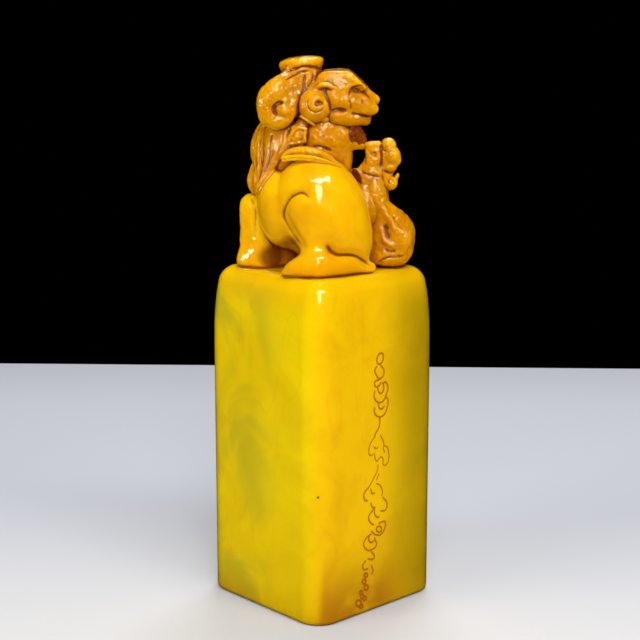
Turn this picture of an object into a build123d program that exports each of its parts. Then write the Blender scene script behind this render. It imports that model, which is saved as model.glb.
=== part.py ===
from build123d import *
from collections import namedtuple
import os

os.makedirs("parts", exist_ok=True)

# A seal stamp cut from one stone: a tall square block that carries the stamp face,
# and a crouching guardian beast carved on its top as the grip.
# Millimetres, +Z up, the origin at the middle of the stamp face. The beast looks
# along +X, with its head turned to its right, towards -Y.
# Every carved mass is its own solid: a ball stretched to a length, a width and a height.
# Two masses that cross are both cut flat at the plane of the ring in which they cross,
# so that they meet face to face and nothing overlaps.
# The place of a mass is given in shares of the half sizes of the mass that carries it,
# forwards, to its left and up. The body is placed from the middle of the top of the block.

# The block
block_side = 30.0
block_height = 60.5
edge_radius = 4.5
shoulder_radius = 2.6
face_bevel = 0.4

# The body
torso_length = 21.0
torso_width = 15.0
torso_height = 16.6
torso_place_shares = (0.05, 0.04, 1.08)
rump_length = 12.6
rump_width = 13.4
rump_height = 16.6
rump_place_shares = (-0.71, 0.17, 0.02)
chest_length = 11.5
chest_width = 15.0
chest_height = 14.2
chest_place_shares = (0.64, -0.17, 0.07)
neck_length = 11.0
neck_width = 11.0
neck_height = 17.0
neck_place_shares = (-0.14, -0.17, 1.28)

# The hind legs
right_haunch_length = 16.4
right_haunch_width = 12.6
right_haunch_height = 17.4
right_haunch_place_shares = (-0.43, -0.87, 0.08)
left_haunch_length = 15.2
left_haunch_width = 8.2
left_haunch_height = 15.6
left_haunch_place_shares = (-0.44, 1.05, -0.22)
right_hind_foot_length = 17.0
right_hind_foot_width = 9.8
right_hind_foot_height = 10.4
right_hind_foot_place_shares = (0.12, -0.38, 0.03)
left_hind_foot_length = 15.5
left_hind_foot_width = 7.6
left_hind_foot_height = 8.4
left_hind_foot_place_shares = (0.16, 0.37, 0.06)

# The front legs
shoulder_length = 9.0
shoulder_width = 8.8
shoulder_height = 9.6
right_shoulder_place_shares = (-0.10, -0.64, 0.39)
left_shoulder_place_shares = (-0.14, 0.80, 0.36)
foreleg_length = 8.8
foreleg_width = 8.2
foreleg_height = 12.6
foreleg_place_shares = (0.49, 0.57, 0.52)
forepaw_length = 9.4
forepaw_width = 9.2
forepaw_height = 10.0
forepaw_place_shares = (0.06, 0.16, 0.10)

# The head, turned to the right of the beast
head_turn = -45.0
skull_length = 12.4
skull_width = 11.0
skull_height = 9.8
skull_place_shares = (-0.10, 0.0, 1.13)
forehead_length = 8.6
forehead_width = 8.8
forehead_height = 7.2
forehead_place_shares = (0.68, 0.0, 0.43)
brow_length = 6.0
brow_width = 3.4
brow_height = 3.0
brow_place_shares = (0.47, 0.69, 0.24)
muzzle_length = 6.6
muzzle_width = 8.0
muzzle_height = 6.0
muzzle_place_shares = (1.18, 0.0, -0.08)
nose_length = 2.8
nose_width = 4.2
nose_height = 3.2
nose_place_shares = (0.61, 0.0, 0.27)
jaw_length = 7.6
jaw_width = 6.6
jaw_height = 3.8
jaw_place_shares = (-0.39, 0.0, -1.07)
beard_length = 5.6
beard_width = 4.8
beard_height = 5.0
beard_place_shares = (0.30, 0.22, -1.42)
eye_length = 5.2
eye_width = 4.2
eye_height = 5.2
eye_place_shares = (-0.10, 0.91, -0.20)
cheek_length = 5.0
cheek_width = 3.6
cheek_height = 4.4
cheek_place_shares = (0.50, 0.76, -0.24)
cheek_lock_length = 3.2
cheek_lock_width = 3.4
cheek_lock_height = 6.0
cheek_lock_place_shares = (-0.63, 0.76, -1.06)
ear_length = 6.6
ear_width = 4.8
ear_height = 7.8
right_ear_place_shares = (-1.18, -0.73, -0.20)
left_ear_place_shares = (-1.00, 0.80, -0.46)
ear_hollow_width = 3.2
ear_hollow_depth = 1.2
ear_root_length = 7.6
ear_root_width = 4.4
ear_root_height = 5.0
ear_root_slope = -35.0
ear_root_place_shares = (-0.90, -0.40, 0.55)
horn_foot_width = 5.2
horn_waist_width = 5.0
horn_rim_width = 6.4
horn_height = 6.6
horn_hollow_width = 3.8
horn_hollow_depth = 0.8
horn_lean = -6.0
horn_place_shares = (-0.47, 0.0, 0.90)

# The mane, its strands down the back and its raised hem over the right haunch
mane_length = 9.6
mane_width = 11.4
mane_height = 18.6
mane_lean = 9.0
mane_place_shares = (-1.10, 0.60, -0.14)
strand_count = 5
strand_length = 3.8
strand_width = 3.2
strand_height = 16.0
strand_first_turn = 110.0
strand_last_turn = 238.0
strand_reach_share = 0.90
hem_back_length = 9.0
hem_back_slope = 2.0
hem_back_place_shares = (-1.03, -0.31, -0.11)
hem_front_length = 6.4
hem_front_slope = 24.0
hem_front_place_shares = (-0.25, -1.06, -0.20)
hem_thickness = 2.4
hem_depth = 3.4

# The raised scroll in front of the chest, and the band that ties it to the beard
scroll_length = 3.6
scroll_width = 4.4
scroll_height = 4.2
scroll_middle_place_shares = (0.38, -0.93, 1.30)
scroll_lobe_length = 3.6
scroll_lobe_width = 3.7
scroll_lobe_height = 3.4
scroll_top_place_shares = (-0.55, 0.0, 1.27)
scroll_low_place_shares = (-0.30, 0.0, -1.50)
band_length = 2.8
band_width = 3.4
band_height = 9.6
band_slope = 0.0
band_place_shares = (-1.95, -0.60, -0.05)

# A carved mass: its name, the spot and turn of its middle, and its three sizes
Mass = namedtuple("Mass", "name spot sizes")


def beside(carrier, shares, turn=(0, 0, 0)):
    """The spot at the given shares of a carrier's half sizes from its middle, turned there."""
    x, y, z = (size / 2 * share for size, share in zip(carrier.sizes, shares))
    return carrier.spot * Location((x, y, z), turn)


def standing(carrier, shares, height):
    """A spot beside a carrier in plan, whose rise over the block is a share of its own height."""
    forward_share, side_share, rise_share = shares
    plan = beside(carrier, (forward_share, side_share, 0)).position
    return Location((plan.X, plan.Y, block_height + height * rise_share))


def mirrored(shares, sign):
    """The same shares to the left, or with a negative sign to the right, of the carrier."""
    forward_share, side_share, up_share = shares
    return (forward_share, sign * side_share, up_share)


def reach(mass, line):
    """How far a mass reaches from its middle along a line, and where its surface faces there."""
    frame = Plane(mass.spot)
    facing = Vector()
    for axis, size in zip((frame.x_dir, frame.y_dir, frame.z_dir), mass.sizes):
        facing += axis * (axis.dot(line) / (size / 2) ** 2)
    return 1 / facing.dot(line) ** 0.5, facing.normalized()


def support(mass, facing):
    """How far a mass reaches from its middle towards a plane with the given facing."""
    frame = Plane(mass.spot)
    spans = zip((frame.x_dir, frame.y_dir, frame.z_dir), mass.sizes)
    return sum((axis.dot(facing) * size / 2) ** 2 for axis, size in spans) ** 0.5


def seam(mass, other):
    """The plane of the ring in which two masses cross, facing the other, or nothing if it misses."""
    line = other.spot.position - mass.spot.position
    distance = line.length
    if distance > (max(mass.sizes) + max(other.sizes)) / 2:
        return None
    line = line.normalized()
    own_reach, own_facing = reach(mass, line)
    other_reach, other_facing = reach(other, line)
    offset = (distance ** 2 + own_reach ** 2 - other_reach ** 2) / (2 * distance)
    facing = (own_facing * own_reach + other_facing * other_reach).normalized()
    if offset * line.dot(facing) >= support(mass, facing):
        return None
    return Plane(origin=mass.spot.position + line * offset, z_dir=facing)


def ball(mass):
    """The uncut body of a mass: a ball of unit radius stretched to its sizes, at its spot."""
    with BuildPart() as body:
        Sphere(1)
        scale(by=tuple(size / 2 for size in mass.sizes))
    return mass.spot * body.part


# The body: the torso is the core of the crouching beast, and every limb grows from it.
# The right haunch is the big smooth thigh at the front corner, the left one a flatter slab.
block_top = Mass("block_top", Location((0, 0, block_height)), (torso_length, torso_width, torso_height))
torso = Mass("torso", beside(block_top, torso_place_shares), (torso_length, torso_width, torso_height))
rump = Mass("rump", beside(torso, rump_place_shares), (rump_length, rump_width, rump_height))
chest = Mass("chest", beside(torso, chest_place_shares), (chest_length, chest_width, chest_height))
neck = Mass("neck", beside(torso, neck_place_shares), (neck_length, neck_width, neck_height))
right_haunch = Mass("right_haunch", beside(torso, right_haunch_place_shares),
                    (right_haunch_length, right_haunch_width, right_haunch_height))
left_haunch = Mass("left_haunch", beside(torso, left_haunch_place_shares),
                   (left_haunch_length, left_haunch_width, left_haunch_height))
beast = [torso, rump, chest, neck, right_haunch, left_haunch]

# The hind feet: long low wedges that lie on the block under the haunches.
right_hind_foot = Mass("right_hind_foot",
                       standing(right_haunch, right_hind_foot_place_shares, right_hind_foot_height),
                       (right_hind_foot_length, right_hind_foot_width, right_hind_foot_height))
left_hind_foot = Mass("left_hind_foot",
                      standing(left_haunch, left_hind_foot_place_shares, left_hind_foot_height),
                      (left_hind_foot_length, left_hind_foot_width, left_hind_foot_height))
beast += [right_hind_foot, left_hind_foot]

# The front legs: a shoulder on the chest, a foreleg below it and a paw on the block.
for side, sign, shoulder_shares in (("right", -1, right_shoulder_place_shares),
                                    ("left", 1, left_shoulder_place_shares)):
    shoulder = Mass(side + "_shoulder", beside(chest, shoulder_shares),
                    (shoulder_length, shoulder_width, shoulder_height))
    foreleg = Mass(side + "_foreleg",
                   standing(shoulder, mirrored(foreleg_place_shares, sign), foreleg_height),
                   (foreleg_length, foreleg_width, foreleg_height))
    forepaw = Mass(side + "_forepaw",
                   standing(foreleg, mirrored(forepaw_place_shares, sign), forepaw_height),
                   (forepaw_length, forepaw_width, forepaw_height))
    beast += [shoulder, foreleg, forepaw]

# The head: the skull turns on the neck, and the masses of the face are placed from it.
skull = Mass("skull", beside(neck, skull_place_shares, (0, 0, head_turn)),
             (skull_length, skull_width, skull_height))
forehead = Mass("forehead", beside(skull, forehead_place_shares),
                (forehead_length, forehead_width, forehead_height))
muzzle = Mass("muzzle", beside(skull, muzzle_place_shares),
              (muzzle_length, muzzle_width, muzzle_height))
nose = Mass("nose", beside(muzzle, nose_place_shares), (nose_length, nose_width, nose_height))
lower_jaw = Mass("lower_jaw", beside(muzzle, jaw_place_shares), (jaw_length, jaw_width, jaw_height))
beard = Mass("beard", beside(lower_jaw, beard_place_shares),
             (beard_length, beard_width, beard_height))
beast += [skull, forehead, muzzle, nose, lower_jaw, beard]

# What the head has on both sides: brows, eyes, cheeks and the locks below the ears.
for side, sign in (("right", -1), ("left", 1)):
    beast.append(Mass(side + "_brow", beside(skull, mirrored(brow_place_shares, sign)),
                      (brow_length, brow_width, brow_height)))
    beast.append(Mass(side + "_eye", beside(skull, mirrored(eye_place_shares, sign)),
                      (eye_length, eye_width, eye_height)))
    beast.append(Mass(side + "_cheek", beside(skull, mirrored(cheek_place_shares, sign)),
                      (cheek_length, cheek_width, cheek_height)))
    beast.append(Mass(side + "_cheek_lock", beside(skull, mirrored(cheek_lock_place_shares, sign)),
                      (cheek_lock_length, cheek_lock_width, cheek_lock_height)))

# The ears: thick curled lobes. A sloping root ties the right one to the horn.
right_ear = Mass("right_ear", beside(skull, right_ear_place_shares), (ear_length, ear_width, ear_height))
left_ear = Mass("left_ear", beside(skull, left_ear_place_shares, (0, 0, 180)),
                (ear_length, ear_width, ear_height))
ear_root = Mass("ear_root", beside(skull, ear_root_place_shares, (0, ear_root_slope, 0)),
                (ear_root_length, ear_root_width, ear_root_height))
horn = Mass("horn", beside(skull, horn_place_shares, (0, horn_lean, 0)),
            (horn_rim_width, horn_rim_width, horn_height))
beast += [right_ear, left_ear, ear_root, horn]

# The mane falls from the nape down the back, with long strands fanned round it.
mane = Mass("mane", beside(neck, mane_place_shares, (0, mane_lean, 0)),
            (mane_length, mane_width, mane_height))
beast.append(mane)
for index in range(strand_count):
    turn = strand_first_turn + (strand_last_turn - strand_first_turn) * index / (strand_count - 1)
    fan = mane.spot * Location((0, 0, 0), (0, 0, turn))
    strand_spot = fan * Location((mane_length / 2 * strand_reach_share, 0, 0))
    beast.append(Mass("mane_strand_" + str(index + 1), strand_spot,
                      (strand_length, strand_width, strand_height)))

# The hem of the mane: a raised edge in two lengths that arches over the right haunch.
for length, hem_length, slope, shares in (("back", hem_back_length, hem_back_slope, hem_back_place_shares),
                                          ("front", hem_front_length, hem_front_slope, hem_front_place_shares)):
    hem_turn = Location((0, 0, 0), (0, 0, head_turn)) * Location((0, 0, 0), (0, slope, 0))
    beast.append(Mass("mane_hem_" + length, beside(neck, shares) * hem_turn,
                      (hem_length, hem_depth, hem_thickness)))

# The chest scroll: a curled cloud in three lobes in front of the right shoulder. The band
# from the shoulder up to the beard leaves an open loop in front of the neck.
scroll_middle = Mass("scroll_middle", beside(chest, scroll_middle_place_shares, (0, 0, head_turn)),
                     (scroll_length, scroll_width, scroll_height))
lobe_sizes = (scroll_lobe_length, scroll_lobe_width, scroll_lobe_height)
scroll_top = Mass("scroll_top", beside(scroll_middle, scroll_top_place_shares), lobe_sizes)
scroll_low = Mass("scroll_low", beside(scroll_middle, scroll_low_place_shares), lobe_sizes)
scroll_band = Mass("scroll_band", beside(scroll_middle, band_place_shares, (0, band_slope, 0)),
                   (band_length, band_width, band_height))
beast += [scroll_middle, scroll_top, scroll_low, scroll_band]

# The horn isn't a ball but a waisted tube, flared and dished at its rim.
with BuildPart() as horn_tube:
    with BuildSketch(Plane.XZ):
        with BuildLine():
            foot = (horn_foot_width / 2, -horn_height / 2)
            rim = (horn_rim_width / 2, horn_height / 2)
            dish = (0, horn_height / 2 - horn_hollow_depth)
            Line((0, -horn_height / 2), foot)
            ThreePointArc(foot, (horn_waist_width / 2, 0), rim)
            Line(rim, (horn_hollow_width / 2, horn_height / 2))
            Line((horn_hollow_width / 2, horn_height / 2), dish)
            Line(dish, (0, -horn_height / 2))
        make_face()
    revolve(axis=Axis.Z)

# Each ear has a round hollow in its outer side, the -Y side of its own spot.
hollow_radius = ear_hollow_width / 2
hollow_place = Location((0, ear_hollow_depth - hollow_radius - ear_width / 2, 0))
hollows = {ear.name: ear.spot * hollow_place for ear in (right_ear, left_ear)}

# The stone block: a square prism with softly rounded upright edges and shoulders.
# Its underside is the stamp face, flat, with a fine bevel all round.
with BuildPart() as seal_block:
    with BuildSketch(Plane.XY):
        RectangleRounded(block_side, block_side, edge_radius)
    extrude(amount=block_height)
    fillet(seal_block.faces().sort_by(Axis.Z)[-1].edges(), radius=shoulder_radius)
    chamfer(seal_block.faces().sort_by(Axis.Z)[0].edges(), length=face_bevel)
seal_block.part.label = "seal_block"
export_step(seal_block.part, "parts/seal_block.step")

# Each mass is cut flat at the top of the block and at its seams, and written.
for mass in beast:
    body = mass.spot * horn_tube.part if mass is horn else ball(mass)
    seams = [seam(mass, other) for other in beast if other is not mass]
    with BuildPart() as carved:
        add(body)
        split(bisect_by=Plane.XY.offset(block_height), keep=Keep.TOP)
        for plane in seams:
            if plane is not None:
                split(bisect_by=plane, keep=Keep.BOTTOM)
        if mass.name in hollows:
            with Locations(hollows[mass.name]):
                Sphere(hollow_radius, mode=Mode.SUBTRACT)
    carved.part.label = mass.name
    export_step(carved.part, "parts/" + mass.name + ".step")
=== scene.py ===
# %% [markdown]
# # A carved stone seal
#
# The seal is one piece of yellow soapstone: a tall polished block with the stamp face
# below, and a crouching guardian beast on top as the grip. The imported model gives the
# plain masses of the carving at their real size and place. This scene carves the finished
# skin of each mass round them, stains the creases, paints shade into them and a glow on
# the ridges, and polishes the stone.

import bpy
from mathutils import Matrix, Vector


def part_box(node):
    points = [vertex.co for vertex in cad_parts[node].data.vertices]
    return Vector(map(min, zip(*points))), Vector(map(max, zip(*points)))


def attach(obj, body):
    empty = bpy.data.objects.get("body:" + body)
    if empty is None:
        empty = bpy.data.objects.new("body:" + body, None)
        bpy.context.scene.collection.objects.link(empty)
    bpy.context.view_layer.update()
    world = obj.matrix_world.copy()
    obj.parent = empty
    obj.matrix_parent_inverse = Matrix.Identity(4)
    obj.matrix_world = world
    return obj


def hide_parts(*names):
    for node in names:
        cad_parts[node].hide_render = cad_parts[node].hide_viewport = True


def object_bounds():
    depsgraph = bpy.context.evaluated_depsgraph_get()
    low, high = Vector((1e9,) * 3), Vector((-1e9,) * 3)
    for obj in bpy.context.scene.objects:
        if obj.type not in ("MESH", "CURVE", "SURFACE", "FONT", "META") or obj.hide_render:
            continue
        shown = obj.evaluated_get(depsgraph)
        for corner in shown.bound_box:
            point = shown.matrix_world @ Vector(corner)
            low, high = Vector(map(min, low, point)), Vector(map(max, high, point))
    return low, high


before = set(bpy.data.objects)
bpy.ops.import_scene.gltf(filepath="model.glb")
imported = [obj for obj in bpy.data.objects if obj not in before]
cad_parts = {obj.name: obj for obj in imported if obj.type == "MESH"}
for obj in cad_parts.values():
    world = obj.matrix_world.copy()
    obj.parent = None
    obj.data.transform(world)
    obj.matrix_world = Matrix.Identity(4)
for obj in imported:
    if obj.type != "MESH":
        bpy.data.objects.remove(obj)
print(len(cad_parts), "nodes of the packed model")

# %% [markdown]
# Everything is measured in millimetres from the middle of the top of the block, because
# that is where a carver starts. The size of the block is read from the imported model.
# The beast is easiest to describe as the camera sees it: u to the right in the picture,
# w away from the camera and z up. Those axes stand at 45 degrees to the block's sides.

# %% Measures and directions
import math

import bpy
import numpy as np
import openvdb
from mathutils import Matrix

cad_low, cad_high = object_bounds()
mm = 0.001
block_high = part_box("seal_block")[1]
block_height = block_high.z / mm
half_side = block_high.x / mm
beast_height = cad_high.z / mm - block_height
print("block", round(2 * half_side, 2), "wide", round(block_height, 2), "high, beast", round(beast_height, 2))

along_u = np.array([1.0, -1.0, 0.0]) / math.sqrt(2)
along_w = np.array([1.0, 1.0, 0.0]) / math.sqrt(2)
up = np.array([0.0, 0.0, 1.0])
level_axes = np.array([along_u, along_w, up])


def spot(u, w, z):
    """The point u to the right, w away and z above the block, as x, y, z."""
    return u * along_u + w * along_w + z * up


def spots(*rows):
    """Rows of u, w, z and a radius, as rows of x, y, z and the radius."""
    table = np.array(rows, float)
    return np.hstack([table[:, :3] @ level_axes, table[:, 3:]])


def leaned(axes, angle):
    """Axes tipped in the picture plane by an angle in degrees, the right end downwards."""
    c, s = math.cos(math.radians(angle)), math.sin(math.radians(angle))
    return np.array([axes[0] * c - axes[2] * s, axes[1], axes[0] * s + axes[2] * c])

# %% [markdown]
# The camera stands where the photographer stood: almost in front of one upright edge and
# 12 degrees above level. It was found by fitting the block's corners, so a point of the
# photograph is a ray here, and a crease can be drawn where that ray meets the stone.

# %% Camera
camera_turn = math.radians(-42.94)
camera_rise = math.radians(11.79)
camera_distance = 275.0
camera_aim_height = 50.42
camera_aim_side = -0.326
camera_lens = 86.35
sensor_width = 36.0
photo_side = 640

camera_right = np.array([math.cos(camera_turn), math.sin(camera_turn), 0.0])
camera_back = np.array([math.sin(camera_turn) * math.cos(camera_rise),
                        -math.cos(camera_turn) * math.cos(camera_rise), math.sin(camera_rise)])
camera_up = np.cross(camera_back, camera_right)
camera_place = camera_aim_side * camera_right + camera_aim_height * up + camera_distance * camera_back

camera = bpy.data.objects.new("camera", bpy.data.cameras.new("camera"))
bpy.context.scene.collection.objects.link(camera)
camera.data.lens = camera_lens
camera.data.sensor_width = sensor_width
camera.data.clip_start = 0.01
camera_rows = [[camera_right[i], camera_up[i], camera_back[i], camera_place[i] * mm] for i in range(3)]
camera.matrix_world = Matrix(camera_rows + [[0, 0, 0, 1]])
bpy.context.scene.camera = camera


def photo_rays(pixels):
    """Where the camera is and the direction of the ray through each pixel, from the block's top."""
    flat = (np.array(pixels, float) - photo_side / 2) * sensor_width / camera_lens / photo_side
    rays = flat[:, :1] * camera_right - flat[:, 1:2] * camera_up - camera_back
    return camera_place - block_height * up, rays


print("camera at", np.round(camera_place, 1))

# %% [markdown]
# The beast is carved, so it is modelled as a carver works: masses are laid on, run into
# each other with a soft hollow, and grooves are cut out. It could be sculpted by hand, or
# joined from meshes with Boolean modifiers, but neither gives each seam a fillet of its
# own. So a piece is worked out as a block of small cells. Every cell holds how far it lies
# outside the stone, less than zero inside. Joining two forms takes the smaller distance,
# cutting takes the larger, and rounding the corner between them gives the fillet.

# %% Distances in a block of cells
far = 9.0


def softer(a, b, soft):
    """The smaller of two distances, with the corner between them rounded over a width."""
    share = np.clip(0.5 + 0.5 * (b - a) / soft, 0, 1)
    return b + (a - b) * share - soft * share * (1 - share)


def sampled(field, places):
    """The values of a field of cells at places in cells, in proportion between the eight nearest."""
    top = np.array(field.shape) - 1.001
    places = np.clip(places, 0, top)
    cell = places.astype(int)
    x, y, z = (places - cell).T
    i, j, k = cell.T
    low = (field[i, j, k] * (1 - x) + field[i + 1, j, k] * x) * (1 - y)
    low += (field[i, j + 1, k] * (1 - x) + field[i + 1, j + 1, k] * x) * y
    high = (field[i, j, k + 1] * (1 - x) + field[i + 1, j, k + 1] * x) * (1 - y)
    high += (field[i, j + 1, k + 1] * (1 - x) + field[i + 1, j + 1, k + 1] * x) * y
    return low * (1 - z) + high * z


def blurred(field, reach):
    """The mean of a field over cubes that reach a number of cells to each side."""
    for axis in range(3):
        wide = np.moveaxis(field, axis, 0)
        padded = np.concatenate([np.repeat(wide[:1], reach + 1, 0), wide, np.repeat(wide[-1:], reach, 0)])
        total = np.cumsum(padded, axis=0, dtype=np.float64)
        wide = (total[2 * reach + 1:] - total[:-2 * reach - 1]) / (2 * reach + 1)
        field = np.ascontiguousarray(np.moveaxis(wide, 0, axis), dtype=np.float32)
    return field


print("where two skins cross, a fillet 1 mm wide is", -softer(0.0, 0.0, 1.0), "mm thick")

# %% [markdown]
# A block of clay knows its lowest corner and its grain. A form changes only the cells near
# it, which keeps millions of cells quick to carve. The clay can be looked at as well: each
# ray of the camera is walked until the distance turns negative, and that is the point
# which the photograph shows at that pixel.

# %% Clay: a block of cells to carve in
class Clay:
    """A block of cells from a low to a high corner, at a grain in millimetres."""

    def __init__(self, low, high, grain):
        self.low = np.array(low, float)
        self.grain = grain
        cells = np.ceil((np.array(high) - self.low) / grain).astype(int) + 1
        self.field = np.full(cells, far, np.float32)

    def window(self, low, high):
        """The cells between two corners, and their x, y and z as three open arrays."""
        first = np.clip(np.floor((low - self.low) / self.grain), 0, self.field.shape).astype(int)
        last = np.clip(np.ceil((high - self.low) / self.grain) + 1, 0, self.field.shape).astype(int)
        last = np.maximum(last, first)
        part = tuple(slice(a, b) for a, b in zip(first, last))
        lines = [self.low[i] + self.grain * np.arange(first[i], last[i]) for i in range(3)]
        return part, *np.ix_(*(line.astype(np.float32) for line in lines))

    def measured(self, links, margin):
        """The part of the block round a form, and the form's distance there, the least of its links."""
        low = np.min([link[0] for link in links], axis=0) - margin
        high = np.max([link[1] for link in links], axis=0) + margin
        part, *_ = self.window(low, high)
        near = np.full(self.field[part].shape, far, np.float32)
        start = np.array([s.start for s in part])
        for link_low, link_high, distance in links:
            inner, x, y, z = self.window(link_low - margin, link_high + margin)
            inner = tuple(slice(s.start - o, s.stop - o) for s, o in zip(inner, start))
            near[inner] = np.minimum(near[inner], distance(x, y, z))
        return part, near

    def add(self, form, soft=0.6):
        """Lays a form on, with a fillet of the given width."""
        part, near = self.measured(form, soft + 3 * self.grain)
        self.field[part] = softer(self.field[part], near, soft)

    def cut(self, form, soft=0.3):
        """Cuts a form out, with a rounded lip of the given width."""
        part, near = self.measured(form, soft + 3 * self.grain)
        self.field[part] = -softer(-self.field[part], near, soft)

    def keep(self, form, soft=0.3):
        """Keeps only what lies inside a form."""
        part, near = self.measured(form, far)
        kept = np.full(self.field.shape, far, np.float32)
        kept[part] = -softer(-self.field[part], -near, soft)
        self.field = kept

    def under(self, pixels, reach=34.0, step=0.06):
        """The points of the stone that the camera sees through pixels of the photograph."""
        start, rays = photo_rays(pixels)
        walk = camera_distance - reach + step * np.arange(int(2 * reach / step))
        places = start + rays[:, None, :] * walk[None, :, None]
        cells = (places - self.low) / self.grain
        inside = np.all((cells >= 0) & (cells <= np.array(self.field.shape) - 1), axis=2)
        depth = sampled(self.field, cells.reshape(-1, 3)).reshape(inside.shape)
        hit = inside & (depth < 0)
        return places[np.arange(len(hit)), hit.argmax(axis=1)][hit.any(axis=1)]


grains = {"thigh": 0.155, "body": 0.13, "head": 0.10}
print("grains in millimetres:", grains)

# %% [markdown]
# Three kinds of form are enough: a ball stretched along three axes, a pillow with flat
# sides and round edges, and a bar that runs through points with its own radius at each.
# Blender's metaballs are such forms too, but each fillet's width can't be chosen there. Here
# a form is a list of links, each with the box that it fills and a function for the distance.

# %% Forms
def ball(centre, radii, axes=np.eye(3)):
    """A stretched ball. The distance is k (k - 1) / g, where k is the length of the place in
    radii and g is the length of the place in squared radii."""
    centre, radii = np.array(centre, float), np.array(radii, float)
    least = 1e-6

    def distance(x, y, z):
        x, y, z = x - centre[0], y - centre[1], z - centre[2]
        along = [x * a[0] + y * a[1] + z * a[2] for a in axes]
        k = np.sqrt(sum((t / r) ** 2 for t, r in zip(along, radii))) + least
        g = np.sqrt(sum((t / r ** 2) ** 2 for t, r in zip(along, radii))) + least
        return k * (k - 1) / g

    reach = np.sqrt(((np.array(axes) * radii[:, None]) ** 2).sum(axis=0))
    return [(centre - reach, centre + reach, distance)]


def pillow(centre, halves, rounding, axes=np.eye(3)):
    """A box of three half sizes with rounded edges: the distance to a smaller box, less the rounding."""
    centre, inner = np.array(centre, float), np.array(halves, float) - rounding

    def distance(x, y, z):
        x, y, z = x - centre[0], y - centre[1], z - centre[2]
        over = [np.abs(x * a[0] + y * a[1] + z * a[2]) - h for a, h in zip(axes, inner)]
        outside = np.sqrt(sum(np.maximum(t, 0) ** 2 for t in over))
        return outside + np.minimum(np.maximum(np.maximum(over[0], over[1]), over[2]), 0) - rounding

    reach = (np.abs(np.array(axes)) * np.array(halves, float)[:, None]).sum(axis=0)
    return [(centre - reach, centre + reach, distance)]


def link(a, b, first, last):
    """One stretch of a bar, from a to b: the distance to a straight line, less a radius that
    changes evenly along it."""
    line = b - a
    length = line @ line + 1e-9

    def distance(x, y, z):
        p = x - a[0], y - a[1], z - a[2]
        share = np.clip(sum(t * d for t, d in zip(p, line)) / length, 0, 1)
        off = np.sqrt(sum((t - share * d) ** 2 for t, d in zip(p, line)))
        return off - (first + (last - first) * share)

    reach = max(first, last)
    return np.minimum(a, b) - reach, np.maximum(a, b) + reach, distance


def bar(rows):
    """A round bar through rows of x, y, z and radius, with one link for each stretch."""
    rows = np.array(rows, float)
    return [link(a[:3], b[:3], a[3], b[3]) for a, b in zip(rows[:-1], rows[1:])]


tried = bar([(0, 0, 0, 1.0), (0, 0, 4, 2.0)])[0][2](3.0, 0.0, 2.0)
print("beside a bar of radius 1.5, 3 mm from its middle, the distance is", round(float(tried), 3))

# %% [markdown]
# A route needs only a few points when a curve runs smoothly through them. A line of the
# photograph can then be drawn on the stone: each of its points is put where the camera's
# ray meets the clay, and a thin bar along them raises a ridge or scores a groove there.

# %% Smooth lines, and lines drawn on the stone
def smooth(rows, steps=6):
    """A curve through rows of numbers. Each stretch is a cubic that leaves a row in the
    direction from the row before it to the row after it."""
    rows = np.array(rows, float)
    ends = np.vstack([2 * rows[0] - rows[1], rows, 2 * rows[-1] - rows[-2]])
    t = (np.arange(steps) / steps)[:, None]
    pieces = []
    for a, b, c, d in zip(ends[:-3], ends[1:-2], ends[2:-1], ends[3:]):
        bend = t ** 2 * (a - 2.5 * b + 2 * c - d / 2)
        pieces.append(b + t * (c - a) / 2 + bend + t ** 3 * (1.5 * (b - c) + (d - a) / 2))
    return np.vstack(pieces + [rows[-1:]])


def drawn(clay, pixels, radius, lift=0.0, steps=6, ends=0.4):
    """A bar along a line of the photograph, on the surface that the camera sees there. Its
    ends taper, and lift moves it towards the camera."""
    line = clay.under(smooth(pixels, steps))
    taper = np.linspace(-1, 1, len(line))
    widths = radius * (1 - (1 - ends) * taper ** 6)
    return bar(np.hstack([line + lift * camera_back, widths[:, None]]))


def score(clay, pixels, radius=0.26, lip=0.3, lift=0.0):
    """Scores a groove along a line of the photograph, with a rounded lip."""
    clay.cut(drawn(clay, pixels, radius, lift), lip)


print("a bend through 3 points becomes", len(smooth([(0, 0), (1, 1), (2, 0)])), "points")

# %% [markdown]
# No hand cuts a true ball, so every carved skin gets a low unevenness: random heights on a
# lattice, eased between its points, as in Blender's own Noise texture. It is laid on as real
# shape, because a bump in the material would leave the outline too perfect.

# %% Unevenness, and a mesh from arrays
lattice = 24


def unevenness(places, size, seed):
    """Low hills a given size apart: random heights on a lattice, eased between its points."""
    heights = np.random.default_rng(seed).standard_normal((lattice, lattice, lattice))
    places = places / size + 100
    cell = np.floor(places).astype(int)
    share = places - cell
    x, y, z = (share * share * (3 - 2 * share)).T
    total = np.zeros(len(places))
    for corner in range(8):
        dx, dy, dz = corner & 1, corner >> 1 & 1, corner >> 2 & 1
        i, j, k = ((cell + (dx, dy, dz)) % lattice).T
        total += heights[i, j, k] * (x if dx else 1 - x) * (y if dy else 1 - y) * (z if dz else 1 - z)
    return total


def new_mesh(name, points, quads, triangles=np.zeros((0, 3), int)):
    """A smooth-shaded mesh object from arrays of points in metres, quads and triangles."""
    corners = np.concatenate([quads.ravel(), triangles.ravel()]).astype(np.int32)
    starts = np.concatenate([np.arange(0, quads.size, 4), quads.size + np.arange(0, triangles.size, 3)])
    mesh = bpy.data.meshes.new(name)
    mesh.vertices.add(len(points))
    mesh.vertices.foreach_set("co", points.astype(np.float32).ravel())
    mesh.loops.add(len(corners))
    mesh.loops.foreach_set("vertex_index", corners)
    mesh.polygons.add(len(starts))
    mesh.polygons.foreach_set("loop_start", starts.astype(np.int32))
    mesh.polygons.foreach_set("use_smooth", np.ones(len(starts), bool))
    mesh.update(calc_edges=True)
    mesh.validate()
    piece = bpy.data.objects.new(name, mesh)
    bpy.context.scene.collection.objects.link(piece)
    return piece


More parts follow.
